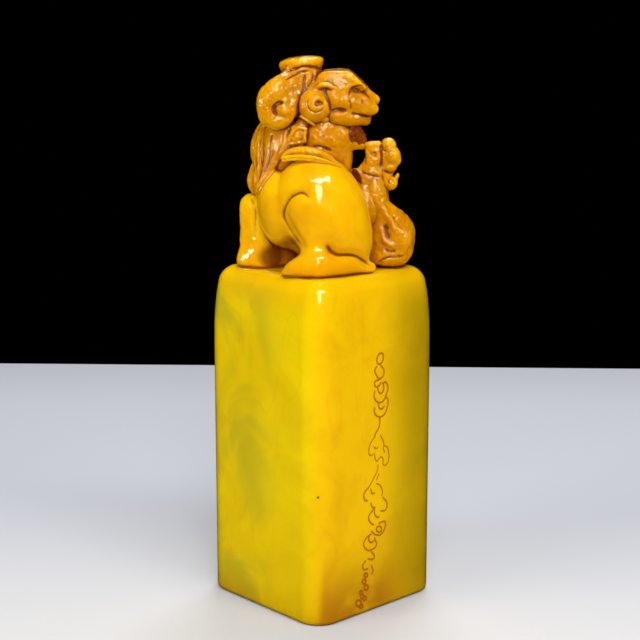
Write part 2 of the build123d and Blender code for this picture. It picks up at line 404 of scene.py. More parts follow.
def points_of(piece):
    """The points of a piece in metres, and the way its surface faces there."""
    count = len(piece.data.vertices)
    points, normals = np.zeros(count * 3, np.float32), np.zeros(count * 3, np.float32)
    piece.data.vertices.foreach_get("co", points)
    piece.data.vertices.foreach_get("normal", normals)
    return points.reshape(-1, 3).astype(float), normals.reshape(-1, 3).astype(float)


sample = unevenness(np.random.default_rng(0).uniform(0, 40, (1000, 3)), 2.0, 0)
print("the hills are about", round(float(np.abs(sample).mean()), 2), "times the height asked for")

# %% [markdown]
# A piece is finished in four steps: the cells are smoothed once, as sanding does; the
# skin is taken where the distance is zero, which the OpenVDB library does in one call;
# each point remembers how deep it lies in a groove; and the unevenness is laid on.

# %% From clay to a piece of the object
pieces = {}
clays = []
groove_reach = 0.3
hill_sizes = 2.1, 0.8, 0.42


def finished(name, clay, nodes, rough=0.05, seed=1, chisel=0.019):
    """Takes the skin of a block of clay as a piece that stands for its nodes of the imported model.
    Rough and chisel are the heights of the slow and the quick unevenness in millimetres."""
    clay.field = blurred(clay.field, 1)
    skin = openvdb.FloatGrid(far)
    skin.copyFromArray(np.minimum(clay.field, far))
    cells, quads = skin.convertToQuads(0.0)
    piece = new_mesh(name, (clay.low + cells * clay.grain + block_height * up) * mm, quads[:, ::-1])
    points, normals = points_of(piece)
    if np.einsum("ij,ij->i", normals, points - points.mean(0)).mean() <= 0:
        piece.data.flip_normals()
        normals = -normals
    smoothed = blurred(clay.field, max(1, round(groove_reach / clay.grain)))
    depths = -sampled(smoothed, (points / mm - block_height * up - clay.low) / clay.grain)
    hills = np.zeros(len(points))
    for number, (height, size) in enumerate(zip((rough, rough / 2, chisel), hill_sizes)):
        hills += height * unevenness(points / mm, size, seed + number)
    points += normals * (hills * mm)[:, None]
    piece.data.vertices.foreach_set("co", points.astype(np.float32).ravel())
    piece.data.update()
    pieces[name] = piece, depths
    clays.append(clay)
    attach(piece, "root")
    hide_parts(*nodes)
    print(name, len(points), "points,", len(quads) * 2, "triangles")

# %% [markdown]
# The photograph says where a form lies across and up, and the carver's sense says how far
# back. So most forms are written as a pixel and a depth w, which is less towards the
# camera, and their sizes are in millimetres.

# %% Places from the photograph
def seen(*rows):
    """Rows of a pixel's x and y, a depth w and perhaps a radius, as rows of x, y, z and the radius."""
    table = np.array(rows, float)
    start, rays = photo_rays(table[:, :2])
    reach = (table[:, 2] - start @ along_w) / (rays @ along_w)
    return np.hstack([start + reach[:, None] * rays, table[:, 3:]])


def lump(x, y, w, radii, lean=0.0):
    """A stretched ball at a pixel and a depth, with radii across, away and up."""
    return ball(seen((x, y, w))[0], radii, leaned(level_axes, lean))


def slab(x, y, w, halves, rounding, lean=0.0):
    """A pillow at a pixel and a depth, with half sizes across, away and up."""
    return pillow(seen((x, y, w))[0], halves, rounding, leaned(level_axes, lean))


def rope(*rows):
    """A smooth bar through pixels, depths and radii."""
    return bar(smooth(seen(*rows)))


print("pixel 301, 61 at w -2, the top of the beast, is at x, y, z", np.round(seen((301, 61, -2))[0], 1))

# %% [markdown]
# The right hindquarters are the big smooth form in front. They could be one lofted
# surface, but the thigh bulges over the rump with a step between them that runs up into a
# cut hook, so balls are laid on each other and the step is left standing. The thigh's lower
# end folds over the ankle, and the foot spreads along two sides of the block's corner.

# %% Hindquarters
clay = Clay((-14.6, -14.6, -1.8), (12.0, 9.5, 19.8), grains["thigh"])
clay.add(ball((0.5, 0.3, 9.0), (9.8, 7.3, 8.0)), 1.0)
clay.add(lump(281, 207, -4.4, (4.2, 6.2, 7.2), -8), 1.2)
clay.add(lump(316, 202, -6.4, (7.7, 7.3, 8.1)), 0.5)
clay.add(lump(338, 226, -7.4, (5.7, 6.0, 7.4), -6), 2.5)
clay.add(lump(352, 244, -7.0, (3.3, 4.0, 4.6)), 1.6)
clay.cut(lump(281, 262, -11.5, (4.6, 4.4, 3.2), 22), 0.8)
clay.add(rope((312, 236, -10, 3.0), (315, 250, -11, 2.3), (318, 262, -11.8, 2.4)), 1.6)
clay.add(rope((287, 273, -11.2, 1.0), (299, 268, -11.8, 1.9), (317, 266, -12.2, 2.5), (336, 266, -11.2, 2.0),
              (353, 266.5, -9.2, 1.4), (371, 267.5, -7.6, 0.9)), 1.3)
hook = [(309.5, 198), (306, 194.9), (302.4, 193.1), (297.9, 193.7), (291, 197.7), (286.4, 204.6),
        (284, 211.4), (283.8, 217), (286.4, 222.9), (291, 230.9), (296.7, 238.9), (302, 246)]
score(clay, hook, 0.85, 1.0, 0.3)
score(clay, hook)
fold = [(327.6, 246.5), (331, 251.4), (338, 254.9), (347, 254.9), (355, 256), (361, 258.9), (369, 264.5),
        (374, 269)]
score(clay, fold, 0.7, 0.8, 0.3)
score(clay, fold)
thigh = clay
finished("right_hindquarters", clay, ["torso", "rump", "right_haunch", "right_hind_foot"], 0.03, 11, 0)

# %% [markdown]
# The left hind leg shows only as an upright slab with a rounded top and a ridge down its
# outer side. Round the corner it is made as the other thigh is: a bulge, a cut hook and a
# fold over the ankle. The camera can't see that side, so its lines are given in x and z
# and thrown on to the clay from the left.

# %% Left hind leg
def met_from_left(clay, rows, first=14.5, last=1.0, step=0.06):
    """The points of the stone that one meets first at each x and z, coming from the left."""
    walk = np.arange(first, last, -step)
    places = np.array([[(x, y, z) for y in walk] for x, z in rows])
    depth = sampled(clay.field, ((places - clay.low) / clay.grain).reshape(-1, 3)).reshape(places.shape[:2])
    return places[np.arange(len(rows)), (depth < 0).argmax(axis=1)]


clay = Clay((-14.6, 0.6, -1.8), (8.0, 14.6, 15.0), grains["body"])
clay.add(pillow((-6.0, 6.9, 5.6), (5.3, 3.7, 7.2), 2.4), 1.0)
clay.add(ball((-2.6, 8.0, 6.8), (7.0, 4.2, 7.2)), 1.5)
clay.add(bar([(-9.6, 8.0, 0.9, 2.6), (-4.0, 9.4, 0.9, 2.8), (4.0, 10.4, 0.7, 2.2)]), 1.2)
clay.add(ball((-1.2, 8.6, 6.8), (4.9, 4.3, 5.8)), 0.8)
score(clay, [(251, 198), (254, 211), (254.5, 222), (254.5, 236)], 0.34, 0.6)
left_hook = [(-0.5, 10.6), (-2.2, 12.0), (-4.4, 11.6), (-6.1, 9.4), (-6.5, 6.8), (-5.2, 4.2), (-3.6, 2.6)]
left_fold = [(-1.0, 3.4), (0.6, 2.4), (2.6, 2.1), (4.4, 2.4), (5.6, 3.2)]
for curve in (left_hook, left_fold):
    line = met_from_left(clay, smooth(curve))
    for outwards, radius, lip in ((0.3, 0.7, 0.8), (0, 0.26, 0.3)):
        clay.cut(bar(np.hstack([line + (0, outwards, 0), np.full((len(line), 1), radius)])), lip)
finished("left_hind_leg", clay, ["left_haunch", "left_hind_foot"], 0.05, 21, 0.014)

# %% [markdown]
# The chest and the neck are one mass. The throat swells towards the beard, and the chest
# comes up to the foot of the scroll. Wide fillets make them one soft body, where the
# parts that a tool has gone round get narrow ones.

# %% Chest and neck
clay = Clay((-8.5, -11.5, 2.0), (14.0, 9.0, 29.5), grains["body"])
clay.add(ball((7.2, -1.0, 9.6), (5.4, 7.0, 7.0)), 1.0)
clay.add(lump(366, 203, 0.4, (3.7, 5.0, 5.9)), 1.5)
clay.add(ball((-1.0, -1.0, 19.4), (5.4, 5.4, 8.6)), 1.2)
clay.add(lump(320, 138, -4.2, (3.4, 3.0, 4.2)), 1.2)
clay.add(lump(333, 134, -3.4, (3.2, 3.0, 3.0)), 1.0)
clay.add(rope((334, 132, -3.0, 2.2), (338, 148, -2.5, 1.6), (339, 164, -3.0, 1.4)), 1.0)
clay.add(rope((340, 138, -3.0, 1.8), (352, 142.5, -2.4, 1.2), (361, 144.5, -2.0, 0.85),
              (367.5, 145.5, -1.8, 0.7)), 0.6)
score(clay, [(312, 146), (322, 147), (332, 151)], 0.24, 0.25)
finished("chest_and_neck", clay, ["chest", "neck"], 0.08, 31, 0.014)

# %% [markdown]
# Each front leg is a round shoulder and an elbow that swells out over the corner of the
# block down to a low paw. A curl of hair is hollowed into its outer side. The far leg is
# hidden, so it is the near one's mirror image: the order of the cells is turned round in
# y, which keeps the faces outwards where a negative scale would turn them.

# %% Front legs
inner_side = 1.0


def front_leg(side):
    """A front leg. The left leg is the right one's mirror image in y."""
    leg = Clay((2.0, -14.6, -1.8), (14.6, -inner_side, 18.5), grains["body"])
    leg.add(lump(374, 194, -0.6, (2.3, 3.6, 4.2)), 1.0)
    leg.add(rope((375, 192, -1.4, 1.6), (378, 205, -1.8, 1.9), (383, 218, -1.2, 2.9)), 1.0)
    leg.add(lump(390.5, 236, -0.4, (4.35, 4.3, 4.9)), 1.4)
    leg.add(lump(388, 254, -0.6, (4.0, 4.2, 2.4)), 1.4)
    score(leg, [(386.5, 226), (385.8, 232), (388, 239)], 0.75, 0.5, 0.35)
    leg.add(drawn(leg, [(383, 206), (387, 214), (392, 222), (395.5, 231)], 0.5, -0.1), 0.5)
    leg.add(drawn(leg, [(382, 229), (383, 237), (387.5, 243.5), (394, 245.5)], 0.36, -0.05), 0.35)
    score(leg, [(384.5, 249), (390, 251.5), (396, 250.5)], 0.3, 0.3, 0.1)
    score(leg, [(378, 262), (386, 258), (395, 257), (404, 256)], 0.24)
    if side == "left":
        leg.field = np.ascontiguousarray(leg.field[:, ::-1])
        leg.low[1] = inner_side
    finished(side + "_front_leg", leg, [side + "_shoulder", side + "_foreleg", side + "_forepaw"], 0.09, 41)


front_leg("right")
front_leg("left")

# %% [markdown]
# The mane falls down the back in long locks that overlap. Hair strands would be too fine
# for stone: each lock is a bar that swells and then ends in a point, with a narrow fillet
# so that the valley beside it stays sharp. Those that show are laid along the lines of the
# photograph, and the ones behind follow the round of the nape.

# %% Mane
mane_centre = np.array([-6.2, 2.2, 18.2])
mane_half = np.array([4.2, 4.8, 8.8])
mane_lean = 0.16


def on_mane(turn, height):
    """A point on the mane at a turn in degrees and a height from -1 to 1."""
    wide = math.sqrt(max(0.0, 1 - height ** 2))
    z = mane_half[2] * height
    return mane_centre + (mane_half[0] * wide * math.cos(math.radians(turn)) - mane_lean * z,
                          mane_half[1] * wide * math.sin(math.radians(turn)), z)


def lock(turn, high, low, thick, sway):
    """A lock of hair: down the mane from a high to a low height, swaying a few degrees."""
    rows = []
    for share, width in ((0, 0.7), (0.25, 1.0), (0.55, 1.1), (0.8, 0.85), (1, 0.25)):
        height = high + (low - high) * share
        rows.append([*on_mane(turn + sway * math.sin(4.2 * share), height), thick * width])
    return bar(smooth(rows, 5))


clay = Clay((-14.2, -8.5, 7.0), (1.0, 10.4, 28.5), grains["head"])
clay.add(ball(mane_centre, mane_half, [(1, 0, mane_lean), (0, 1, 0), (-mane_lean, 0, 1)]), 1.0)
for turn in range(48, 130, 20):
    clay.add(lock(turn, 0.6, -0.8, 1.25, 7), 0.25)
for turn in range(58, 122, 20):
    clay.add(lock(turn, 0.86, -0.1, 1.2, -9), 0.22)
locks_seen = [
    [(262, 156, 0, 0.9), (256.5, 171, -0.5, 1.25), (254.6, 183, -1, 1.3), (256, 195, -1.5, 0.6)],
    [(268, 122, 0, 1.1), (260.5, 138, 0, 1.4), (258.4, 155, -0.5, 1.35), (260, 169, -1, 0.6)],
    [(266, 160, -3, 0.9), (261, 172, -3.5, 1.1), (259, 184, -4, 1.0), (257.5, 196, -4, 0.4)],
    [(287, 126, -5, 1.2), (284, 140, -6, 1.2), (280, 152, -6.4, 1.0), (271, 168, -6.6, 0.6),
     (262, 184, -6.4, 0.3)],
    [(277, 125, -3.5, 1.2), (272.5, 140, -4.8, 1.25), (271.5, 155, -5.4, 1.2), (268, 168, -5.6, 0.95),
     (261, 184, -5.6, 0.45)],
    [(270, 124, -2, 1.1), (264.5, 138, -3, 1.15), (262.8, 152, -3.6, 1.15), (262.5, 165, -4, 0.95),
     (259, 180, -4.4, 0.5)],
]
for rows in locks_seen:
    clay.add(rope(*rows), 0.18)
hair_lines = [
    [(262, 135), (260, 146), (261, 158), (262, 166)],
    [(272, 134), (270, 146), (270, 158), (267, 168)],
    [(283, 134), (281, 146), (277, 156)],
]
for line in hair_lines:
    score(clay, line, 0.14, 0.2)
finished("mane_fall", clay, ["mane"] + ["mane_strand_" + str(i) for i in range(1, 6)], 0.05, 51)

# %% [markdown]
# The hem of the mane is a band with a rolled lower edge. It arches over the thigh to the
# foot of the neck, and a second branch runs down the flank. The arch stands free, so it is
# ropes through pixels and depths; the branch lies on the thigh, so it is drawn on it.

# %% Hem of the mane
clay = Clay((-14.2, -14.0, 8.0), (9.0, 9.0, 26.0), grains["head"])
clay.add(rope((283, 158, -7.8, 0.4), (289, 153.5, -8.0, 0.7), (301, 151.5, -8.3, 0.85),
              (314, 152.8, -8.5, 0.85), (325, 157, -8.2, 0.75), (335, 163.5, -7.5, 0.6),
              (344, 171, -6.6, 0.35)), 0.3)
for drop, radius in ((0, 0.3), (3.2, 0.24)):
    rolled = [(283, 157.5 + drop, -8.6), (292, 156.4 + drop, -9.4), (304, 156.6 + drop, -9.9),
              (319, 158.9 + drop, -10.0), (334, 164.6 + drop * 0.8, -9.2), (345, 171 + drop * 0.3, -7.8)]
    radii = [radius] * 5 + [radius * 0.7]
    clay.add(rope(*((*row, width) for row, width in zip(rolled, radii))), 0.12)
flank = [(284, 158), (278.5, 165), (272.7, 172), (263.6, 184.5), (256.9, 198.5)]
branch = ((2.0, 1, 0.62, -0.1, 0.3), (0, 0, 0.3, 0.15, 0.1), (3.6, 2, 0.3, 0.15, 0.1))
for left, above, radius, lift, soft in branch:
    clay.add(drawn(thigh, [(x - left, y - above) for x, y in flank], radius, lift), soft)
finished("mane_hem", clay, ["mane_hem_back", "mane_hem_front"], 0.04, 61)

# %% [markdown]
# The head is carved last and finest. It is built round its own middle plane, so that a
# form seen on the near cheek is also laid on the far one: a Mirror modifier would do that
# for a mesh, and here the rows of places are mirrored before they become forms.

# %% Head: both sides at once
head_middle = -1.8


def pair(*rows):
    """Rows seen on the near side of the head, and their mirror image on the far side."""
    near = seen(*rows)
    other = near.copy()
    other[:, :3] -= 2 * (near[:, :3] @ along_w - head_middle)[:, None] * along_w
    return near, other


def lumps(act, x, y, w, radii, soft=0.5, lean=0.0):
    """Adds or cuts a stretched ball on both sides of the head."""
    for places in pair((x, y, w)):
        act(ball(places[0], radii, leaned(level_axes, lean)), soft)


def ropes(act, soft, *rows):
    """Adds or cuts a bar on both sides of the head."""
    for places in pair(*rows):
        act(bar(smooth(places)), soft)


print("the middle of the head is at w", head_middle, "and z", np.round(seen((336, 92, head_middle))[0][2], 1))

# %% [markdown]
# First come the masses: skull, forehead, a flat brow that slopes down to the nose, eye
# sockets, the bridge of the nose, the lips and the lower jaw, the cheeks and the temples.

# %% Masses of the head
clay = Clay((-9.5, -12.5, 21.0), (12.0, 8.5, 37.0), grains["head"])
clay.add(lump(318, 101, head_middle, (5.9, 4.9, 4.9)), 0.6)
clay.add(lump(336, 92, head_middle, (4.7, 4.6, 4.0)), 0.8)
clay.add(slab(343.5, 80.5, head_middle, (4.4, 3.9, 1.85), 1.2, -4), 0.6)
front = leaned(level_axes, 44)
clay.cut(pillow(seen((361.5, 80.5, head_middle))[0] + 5.0 * front[2], (9.0, 9.0, 5.0), 0.3, front), 0.7)
lumps(clay.cut, 362, 92.5, -6.5, (2.3, 2.2, 1.3), 0.3, 8)
clay.add(rope((352, 98, head_middle, 2.6), (361, 97, head_middle, 1.9), (369, 98.2, head_middle, 1.3),
              (375.2, 99.8, head_middle, 0.8)), 0.8)
nose_and_lips = [
    (360.5, 101.5, -4.0, (1.7, 1.2, 1.3), 0.5, 10), (369.5, 101.5, -2.9, (1.1, 0.8, 0.8), 0.4, 15),
    (370.5, 108.5, -2.8, (1.4, 1.3, 1.1), 0.5, 10), (358, 109, -3.6, (2.4, 1.6, 1.7), 0.8)]
for row in nose_and_lips:
    lumps(clay.add, *row)
ropes(clay.add, 0.6, (336, 116, -5.2, 1.6), (346, 118.5, -4.7, 1.3), (356, 119.5, -3.8, 1.05),
      (363, 119.3, -2.8, 0.95), (364, 119.2, head_middle, 1.0))
clay.add(lump(350, 114, head_middle, (3.4, 2.8, 1.8)), 0.8)
cheeks = [(347, 117.5, -5.1, (1.1, 0.9, 0.9), 0.4), (346, 103, -4.8, (2.2, 1.4, 1.9), 0.9),
          (314, 106, -6.1, (2.8, 2.3, 2.9), 0.6), (334.5, 99.5, -5.7, (2.0, 1.4, 2.1), 0.6, -20),
          (324.5, 119, -6.0, (0.8, 0.7, 0.7), 0.25)]
for row in cheeks:
    lumps(clay.add, *row)
print("the head is a block of", clay.field.size, "cells")

# %% [markdown]
# Then come the lines: the rolled brow, a strand below the ear, the mouth, the lids, the
# folds of the nose and cheek, and the scroll cut into the side of the face. Each lies
# where the photograph shows it, and the brow, the strand and the mouth are on both sides.

# %% Lines of the face
ropes(clay.add, 0.25, (317, 87.5, -6.2, 0.3), (323, 84.8, -6.5, 0.42), (330, 86, -6.5, 0.42),
      (336, 88.8, -6.4, 0.36), (341, 93, -6.2, 0.28), (343, 99, -6.0, 0.2))
ropes(clay.add, 0.2, (300, 116.5, -7.2, 0.2), (307, 120.5, -7.35, 0.24), (314.5, 125.5, -7.0, 0.2))
clay.cut(rope((376, 103, -7, 0.22), (379, 103, -4, 0.26), (381, 103, head_middle, 0.3),
              (381, 103, 2, 0.26)), 0.25)
ropes(clay.cut, 0.2, (353, 113.5, -5.6, 0.2), (361, 115.3, -4.8, 0.26), (368, 115.6, -3.4, 0.3),
      (374, 116, head_middle, 0.34))
face_lines = [
    ([(349.5, 96), (350.5, 91), (353, 87.5), (359.5, 86), (366, 86.4)], 0.24, 0.2, 0.05),
    ([(362, 99), (362.6, 102), (362, 105)], 0.15, 0.15),
    ([(349, 100), (351, 105), (350, 109)], 0.16, 0.2),
    ([(332, 111), (339, 109.6), (346, 111)], 0.34, 0.3),
    ([(324.5, 90), (327, 97), (329.4, 103), (330.5, 110)], 0.28, 0.25),
    ([(316.5, 104.5), (319, 102.4), (321.8, 103.6)], 0.5, 0.25),
    ([(321, 102.4), (323.6, 105), (322, 110), (315.5, 112.5), (309.5, 109.5), (307.6, 103), (310, 97.5)],
     0.15, 0.15),
    ([(301, 119.5), (307, 123), (314, 127)], 0.26, 0.25),
]
for row in face_lines:
    score(clay, *row)
finished("head", clay, ["skull", "forehead", "muzzle", "nose", "lower_jaw", "right_brow", "left_brow",
                        "right_eye", "left_eye", "right_cheek", "left_cheek"], 0.04, 71, 0.011)

# %% [markdown]
# The crest stands on the crown as a fluted tube with a flared, rolled lip. It runs down
# into the right ear, a thick roll that curls in to a crescent hollow. A profile turned by
# a Screw modifier would make the lip too even, so the lip is a flat ball, trimmed by a
# larger one and hollowed by a third.

# %% Crest and right ear
clay = Clay((-13.8, -8.5, 22.0), (1.5, 6.0, 37.1), grains["head"])

tilted = leaned(level_axes, -7)
rim = seen((301, 61.0, -2.0))[0]
clay.add(bar(seen((303.5, 96, -2.4, 3.3), (302.5, 80, -2.2, 3.55), (301.5, 67, -2.0, 3.5))), 0.3)
clay.add(ball(rim - 0.35 * tilted[2], (3.85, 3.7, 2.0), tilted), 0.3)
clay.keep(ball(rim - 9.0 * tilted[2], (10.5, 11.5, 9.9), tilted), 0.25)
clay.cut(ball(rim + 2.2 * tilted[2], (3.0, 2.8, 1.5), tilted), 0.3)
clay.add(rope((297, 78, -3.2, 2.2), (287, 84, -5.2, 2.1), (276, 90, -6.6, 2.0), (268, 98.5, -7.0, 1.9),
              (266, 108, -7.2, 1.65), (269.5, 117, -7.2, 1.65), (278, 120.6, -7.2, 1.5),
              (285.5, 117, -7.2, 1.2), (286.5, 111, -7.2, 0.9)), 0.7)
clay.add(lump(278, 106, -6.6, (3.3, 1.9, 3.7)), 0.7)
clay.add(lump(292, 98, -4.2, (3.2, 2.6, 4.0)), 1.2)
score(clay, [(283, 102.6), (278, 103.4), (274.6, 107), (274.2, 111), (276.5, 114.5)], 0.42, 0.2, 0.05)
clay.add(lump(283.5, 110.5, -8.0, (1.1, 0.9, 1.0), 20), 0.3)
score(clay, [(283, 74.5), (290, 70.5), (298, 68), (306, 66.5), (314, 67), (321, 69)], 0.26, 0.25)
score(clay, [(286, 80), (293, 75.5), (301, 72), (309, 71)], 0.2, 0.25)
for x in (305, 313):
    score(clay, [(x, 74), (x - 0.6, 82), (x - 1, 90)], 0.16)
finished("crest_and_right_ear", clay, ["horn", "ear_root", "right_ear"], 0.07, 81)

# %% [markdown]
# The left ear isn't seen in the photograph. It is made as the plain counterpart of the
# right one, a thick roll round a hollow, with its places given in u, w and z.

# %% Left ear
clay = Clay((-8.5, 0.0, 21.5), (3.5, 11.0, 34.5), grains["head"])
roll = spots((-2.6, 0.6, 31.6, 2.0), (-4.6, 2.2, 30.6, 1.8), (-6.8, 3.2, 29.6, 1.7), (-8.4, 3.6, 27.8, 1.5),
             (-7.9, 3.8, 25.8, 1.4), (-6.2, 3.8, 25.0, 1.3), (-4.9, 3.7, 26.0, 1.0), (-5.4, 3.6, 27.2, 0.6))
clay.add(bar(smooth(roll)), 0.6)
clay.add(ball(spot(-6.2, 2.4, 27.2), (2.6, 1.5, 2.8), level_axes), 0.5)
clay.add(ball(spot(-3.6, 1.4, 28.8), (3.0, 2.4, 3.6), level_axes), 1.2)
finished("left_ear_scroll", clay, ["left_ear"], 0.07, 85)

# %% [markdown]
# A lock of hair hangs below each ear, cut as a flat tongue. The right one has a raised
# border, a thin bar round its edge. The left one is hidden, and only has a sunken face.

# %% Cheek locks
tongue = [(298, 127.5), (292, 133), (288.6, 139), (289, 144), (296, 143.5), (305, 141.5), (304.5, 134),
          (306, 129), (298, 127.5)]
clay = Clay((-11.5, -9.0, 18.5), (0.0, 4.5, 29.5), grains["head"])
clay.add(slab(297.5, 136, -6.4, (1.45, 1.0, 1.5), 0.5, 20), 0.5)
clay.add(rope((303, 124, -5.6, 1.2), (299, 132, -6.2, 1.2), (296, 139, -6.4, 1.1)), 0.4)
clay.add(bar(seen(*[(x, y, -7.4, 0.26) for x, y in tongue])), 0.12)
finished("right_hair_lock", clay, ["right_cheek_lock"], 0.06, 91)

clay = Clay((-6.5, 0.0, 19.0), (4.0, 9.0, 29.0), grains["head"])
hanging = leaned(level_axes, 24)
clay.add(pillow(spot(-4.3, 2.6, 24.0), (1.5, 0.95, 2.0), 0.45, hanging), 0.4)
clay.cut(pillow(spot(-4.3, 3.65, 24.0), (1.0, 0.4, 1.5), 0.2, hanging), 0.2)
clay.add(ball(spot(-3.2, 2.3, 25.9), (1.9, 1.4, 1.5), level_axes), 0.5)
finished("left_hair_lock", clay, ["left_cheek_lock"], 0.06, 93)

# %% [markdown]
# The beard is a rough tuft under the jaw, deep red-brown, whose lumps make a sawn edge.

# %% Beard
clay = Clay((-2.0, -9.0, 17.5), (8.5, 2.5, 27.0), grains["head"])
clay.add(rope((344, 128, -2.6, 1.9), (352, 133, -2.4, 1.8), (358.5, 139, -2.0, 1.2),
              (361.5, 144.5, -1.8, 0.8)), 0.5)
beard_lumps = [
    (358.5, 128.6, -1.6, 0.5), (360.4, 132.6, -1.8, 0.55), (362.6, 136.6, -1.6, 0.5), (363.4, 140.6, -2, 0.5),
    (364.0, 144.4, -1.8, 0.5), (352, 128, -4.0, 0.6), (355, 133, -3.6, 0.6), (349, 134, -4.2, 0.65),
    (357, 138, -3.2, 0.6), (352, 139, -3.6, 0.6), (344, 132, -4.4, 0.65), (358, 143, -2.8, 0.55),
    (352, 129, 0.2, 0.6), (356, 136, -0.4, 0.6), (347, 133, 0.4, 0.7),
]
for x, y, w, radius in beard_lumps:
    clay.add(lump(x, y, w, (radius, radius, radius * 1.25), 35), 0.14)
finished("beard_tuft", clay, ["beard"], 0.09, 95)

# %% [markdown]
# In front of the chest stands a scroll of cloud. A broad leaf rises from the chest to the
# beard and leaves the pierced loop beside the neck. Round lobes with cut spirals run down
# its outer side. A curve with a bevel would give every stem one thickness, so bars with a
# radius at each point are used for the leaf and its stems.

# %% Chest scroll
spiral_turns = 1.35
pixels_per_mm = 5.6


def spiral(x, y, radius, start):
    """A flat spiral round a pixel: its radius in millimetres falls evenly while it turns."""
    share = np.linspace(0, 1, 26)
    out = radius * pixels_per_mm * (1 - 0.9 * share)
    angle = 2 * math.pi * (start + spiral_turns * share)
    return np.stack([x + out * np.cos(angle), y - out * np.sin(angle)], 1)


clay = Clay((2.5, -14.0, 9.5), (13.6, -0.5, 24.5), grains["head"])
clay.add(rope((373.4, 148.5, -1.4, 1.3), (373.4, 157, -1.5, 1.5), (371.5, 166, -1.5, 1.7),
              (368, 176, -1.4, 2.0), (364, 186, -1.4, 1.8)), 0.5)
clay.add(slab(373.6, 159, -2.2, (1.35, 0.8, 2.9), 0.45, -3), 0.25)
clay.add(slab(368.5, 181, -2.2, (2.3, 1.1, 1.7), 0.6, -18), 0.5)
clay.add(rope((367, 144.6, -2.4, 0.4), (372, 144.2, -2.6, 0.5), (379, 143.2, -2.3, 0.4)), 0.2)
clay.add(rope((368, 148, -1.6, 0.6), (367.6, 156, -1.6, 0.55), (366, 164, -1.8, 0.7), (360, 172, -2.0, 0.8),
              (352, 173, -2.4, 0.8)), 0.3)
clay.add(rope((382, 152, -1.4, 1.1), (384.5, 160, -1.4, 1.4), (385, 170, -1.4, 1.35), (384, 180, -1.3, 1.3),
              (381, 190, -1.2, 1.2)), 0.4)
lobes = [(388.2, 145, -1.4, (1.28, 1.5, 1.28), 0, 0.25), (391.5, 155, -1.5, (1.5, 1.7, 1.5), 0, 0.3),
         (395.6, 160, -1.2, (0.95, 1.2, 1.0), 0, 0.6), (389.5, 166.5, -1.3, (1.2, 1.4, 1.1), 0, 0.6),
         (390.2, 182.5, -1.2, (1.35, 1.5, 1.35), 0, 0.3), (396.2, 177.6, -1.2, (0.36, 1.0, 0.85), 25, 0.2)]
for *row, soft in lobes:
    clay.add(lump(*row), soft)
for row in ((388.2, 145, 0.72, 0.1), (391.5, 155, 0.95, 0.9), (390.4, 182.5, 0.8, 0.7), (374, 154, 0.6, 0.4)):
    clay.cut(drawn(clay, spiral(*row), 0.15, steps=1), 0.18)
score(clay, [(380.5, 145), (381, 152), (381.5, 160), (380, 168)])
score(clay, [(362, 171.5), (367, 174), (373, 176), (380, 177)], 0.24)
score(clay, [(385, 171), (390, 173), (396, 171)], 0.2)
finished("chest_scroll", clay, ["scroll_middle", "scroll_top", "scroll_low", "scroll_band"], 0.06, 99)

# %% [markdown]
# The block is a true form, so it is one surface of two parameters: the way round the
# square, and the way up from the middle of the stamp face, over the bevel, the side and
# the shoulder, to the middle of the top. A cube with a Bevel modifier would be quicker,
# but here the columns and rows have to lie close together on the right face, where fine
# scrolls are scratched into the polish.

# %% The way round the block
edge_radius = 4.5
straight_half = half_side - edge_radius
ornament_left, ornament_right = -7.4, 3.4
fine_step = 0.12


def outline():
    """The square's outline seen from above, as points and the way each faces: four straight
    sides, each followed by a quarter of a circle."""
    plain = np.linspace(-straight_half, straight_half, 9)
    fine_stops = round((ornament_right - ornament_left) / fine_step)
    fine = np.concatenate([np.linspace(-straight_half, ornament_left, 6)[:-1],
                           np.linspace(ornament_left, ornament_right, fine_stops)[:-1],
                           np.linspace(ornament_right, straight_half, 9)])
    arc = np.radians(np.linspace(0, 90, 14)[1:-1])[:, None]
    points, normals = [], []
    for side in range(4):
        c, s = (1, 0, -1, 0)[side], (0, 1, 0, -1)[side]
        ahead, out = np.array([c, s]), np.array([s, -c])
        stops = (fine if side == 0 else plain)[:, None]
        facing = out * np.cos(arc) + ahead * np.sin(arc)
        points += [out * half_side + ahead * stops, (ahead + out) * straight_half + edge_radius * facing]
        normals += [np.repeat(out[None], len(stops), 0), facing]
    return np.vstack(points), np.vstack(normals)


ring_points, ring_normals = outline()
columns = len(ring_points)
print(columns, "columns round the block")

# %% [markdown]
# The way up is a profile: how far each row is set in from the outline, its height, and its
# share of the ring's size, which shrinks to nothing at the middle of both ends. The sides
# of the real block aren't quite upright: towards the top they lean in a little.

# %% The way up the block
shoulder_radius = 2.6
bevel = 0.9
lean_inset, lean_reach, lean_power = 1.7, 18.0, 3.5
side_step = 0.125


def way_up():
    """The rows of inset, height and share of the ring's size. The bevel and the shoulder are
    arcs, and near the top the side also leans in, by the share of the reach to a power."""
    caps = np.linspace(0, 1, 28)[1:-1]
    side_heights = np.arange(bevel, block_height - shoulder_radius, side_step)[1:]
    way = [(bevel, 0, share) for share in caps[::3]]
    for a in np.radians(np.linspace(0, 90, 4)):
        way.append((bevel * (1 - math.sin(a)), bevel * (1 - math.cos(a)), 1))
    way += [(0, z, 1) for z in side_heights]
    for a in np.radians(np.linspace(0, 90, 12)):
        drop = shoulder_radius * (1 - math.sin(a))
        way.append((shoulder_radius * (1 - math.cos(a)), block_height - drop, 1))
    way += [(shoulder_radius, block_height, share) for share in caps[::-1]]
    way = np.array(way)
    way[:, 0] += lean_inset * np.clip(1 - (block_height - way[:, 1]) / lean_reach, 0, 1) ** lean_power
    return way


inset, height, share = way_up().T[:, :, None]
rows = len(inset)
across = (ring_points[None] - inset[..., None] * ring_normals[None]) * share[..., None]
grid = np.concatenate([across, np.repeat(height, columns, 1)[..., None]], 2)
print(rows, "rows from the stamp face to the top")

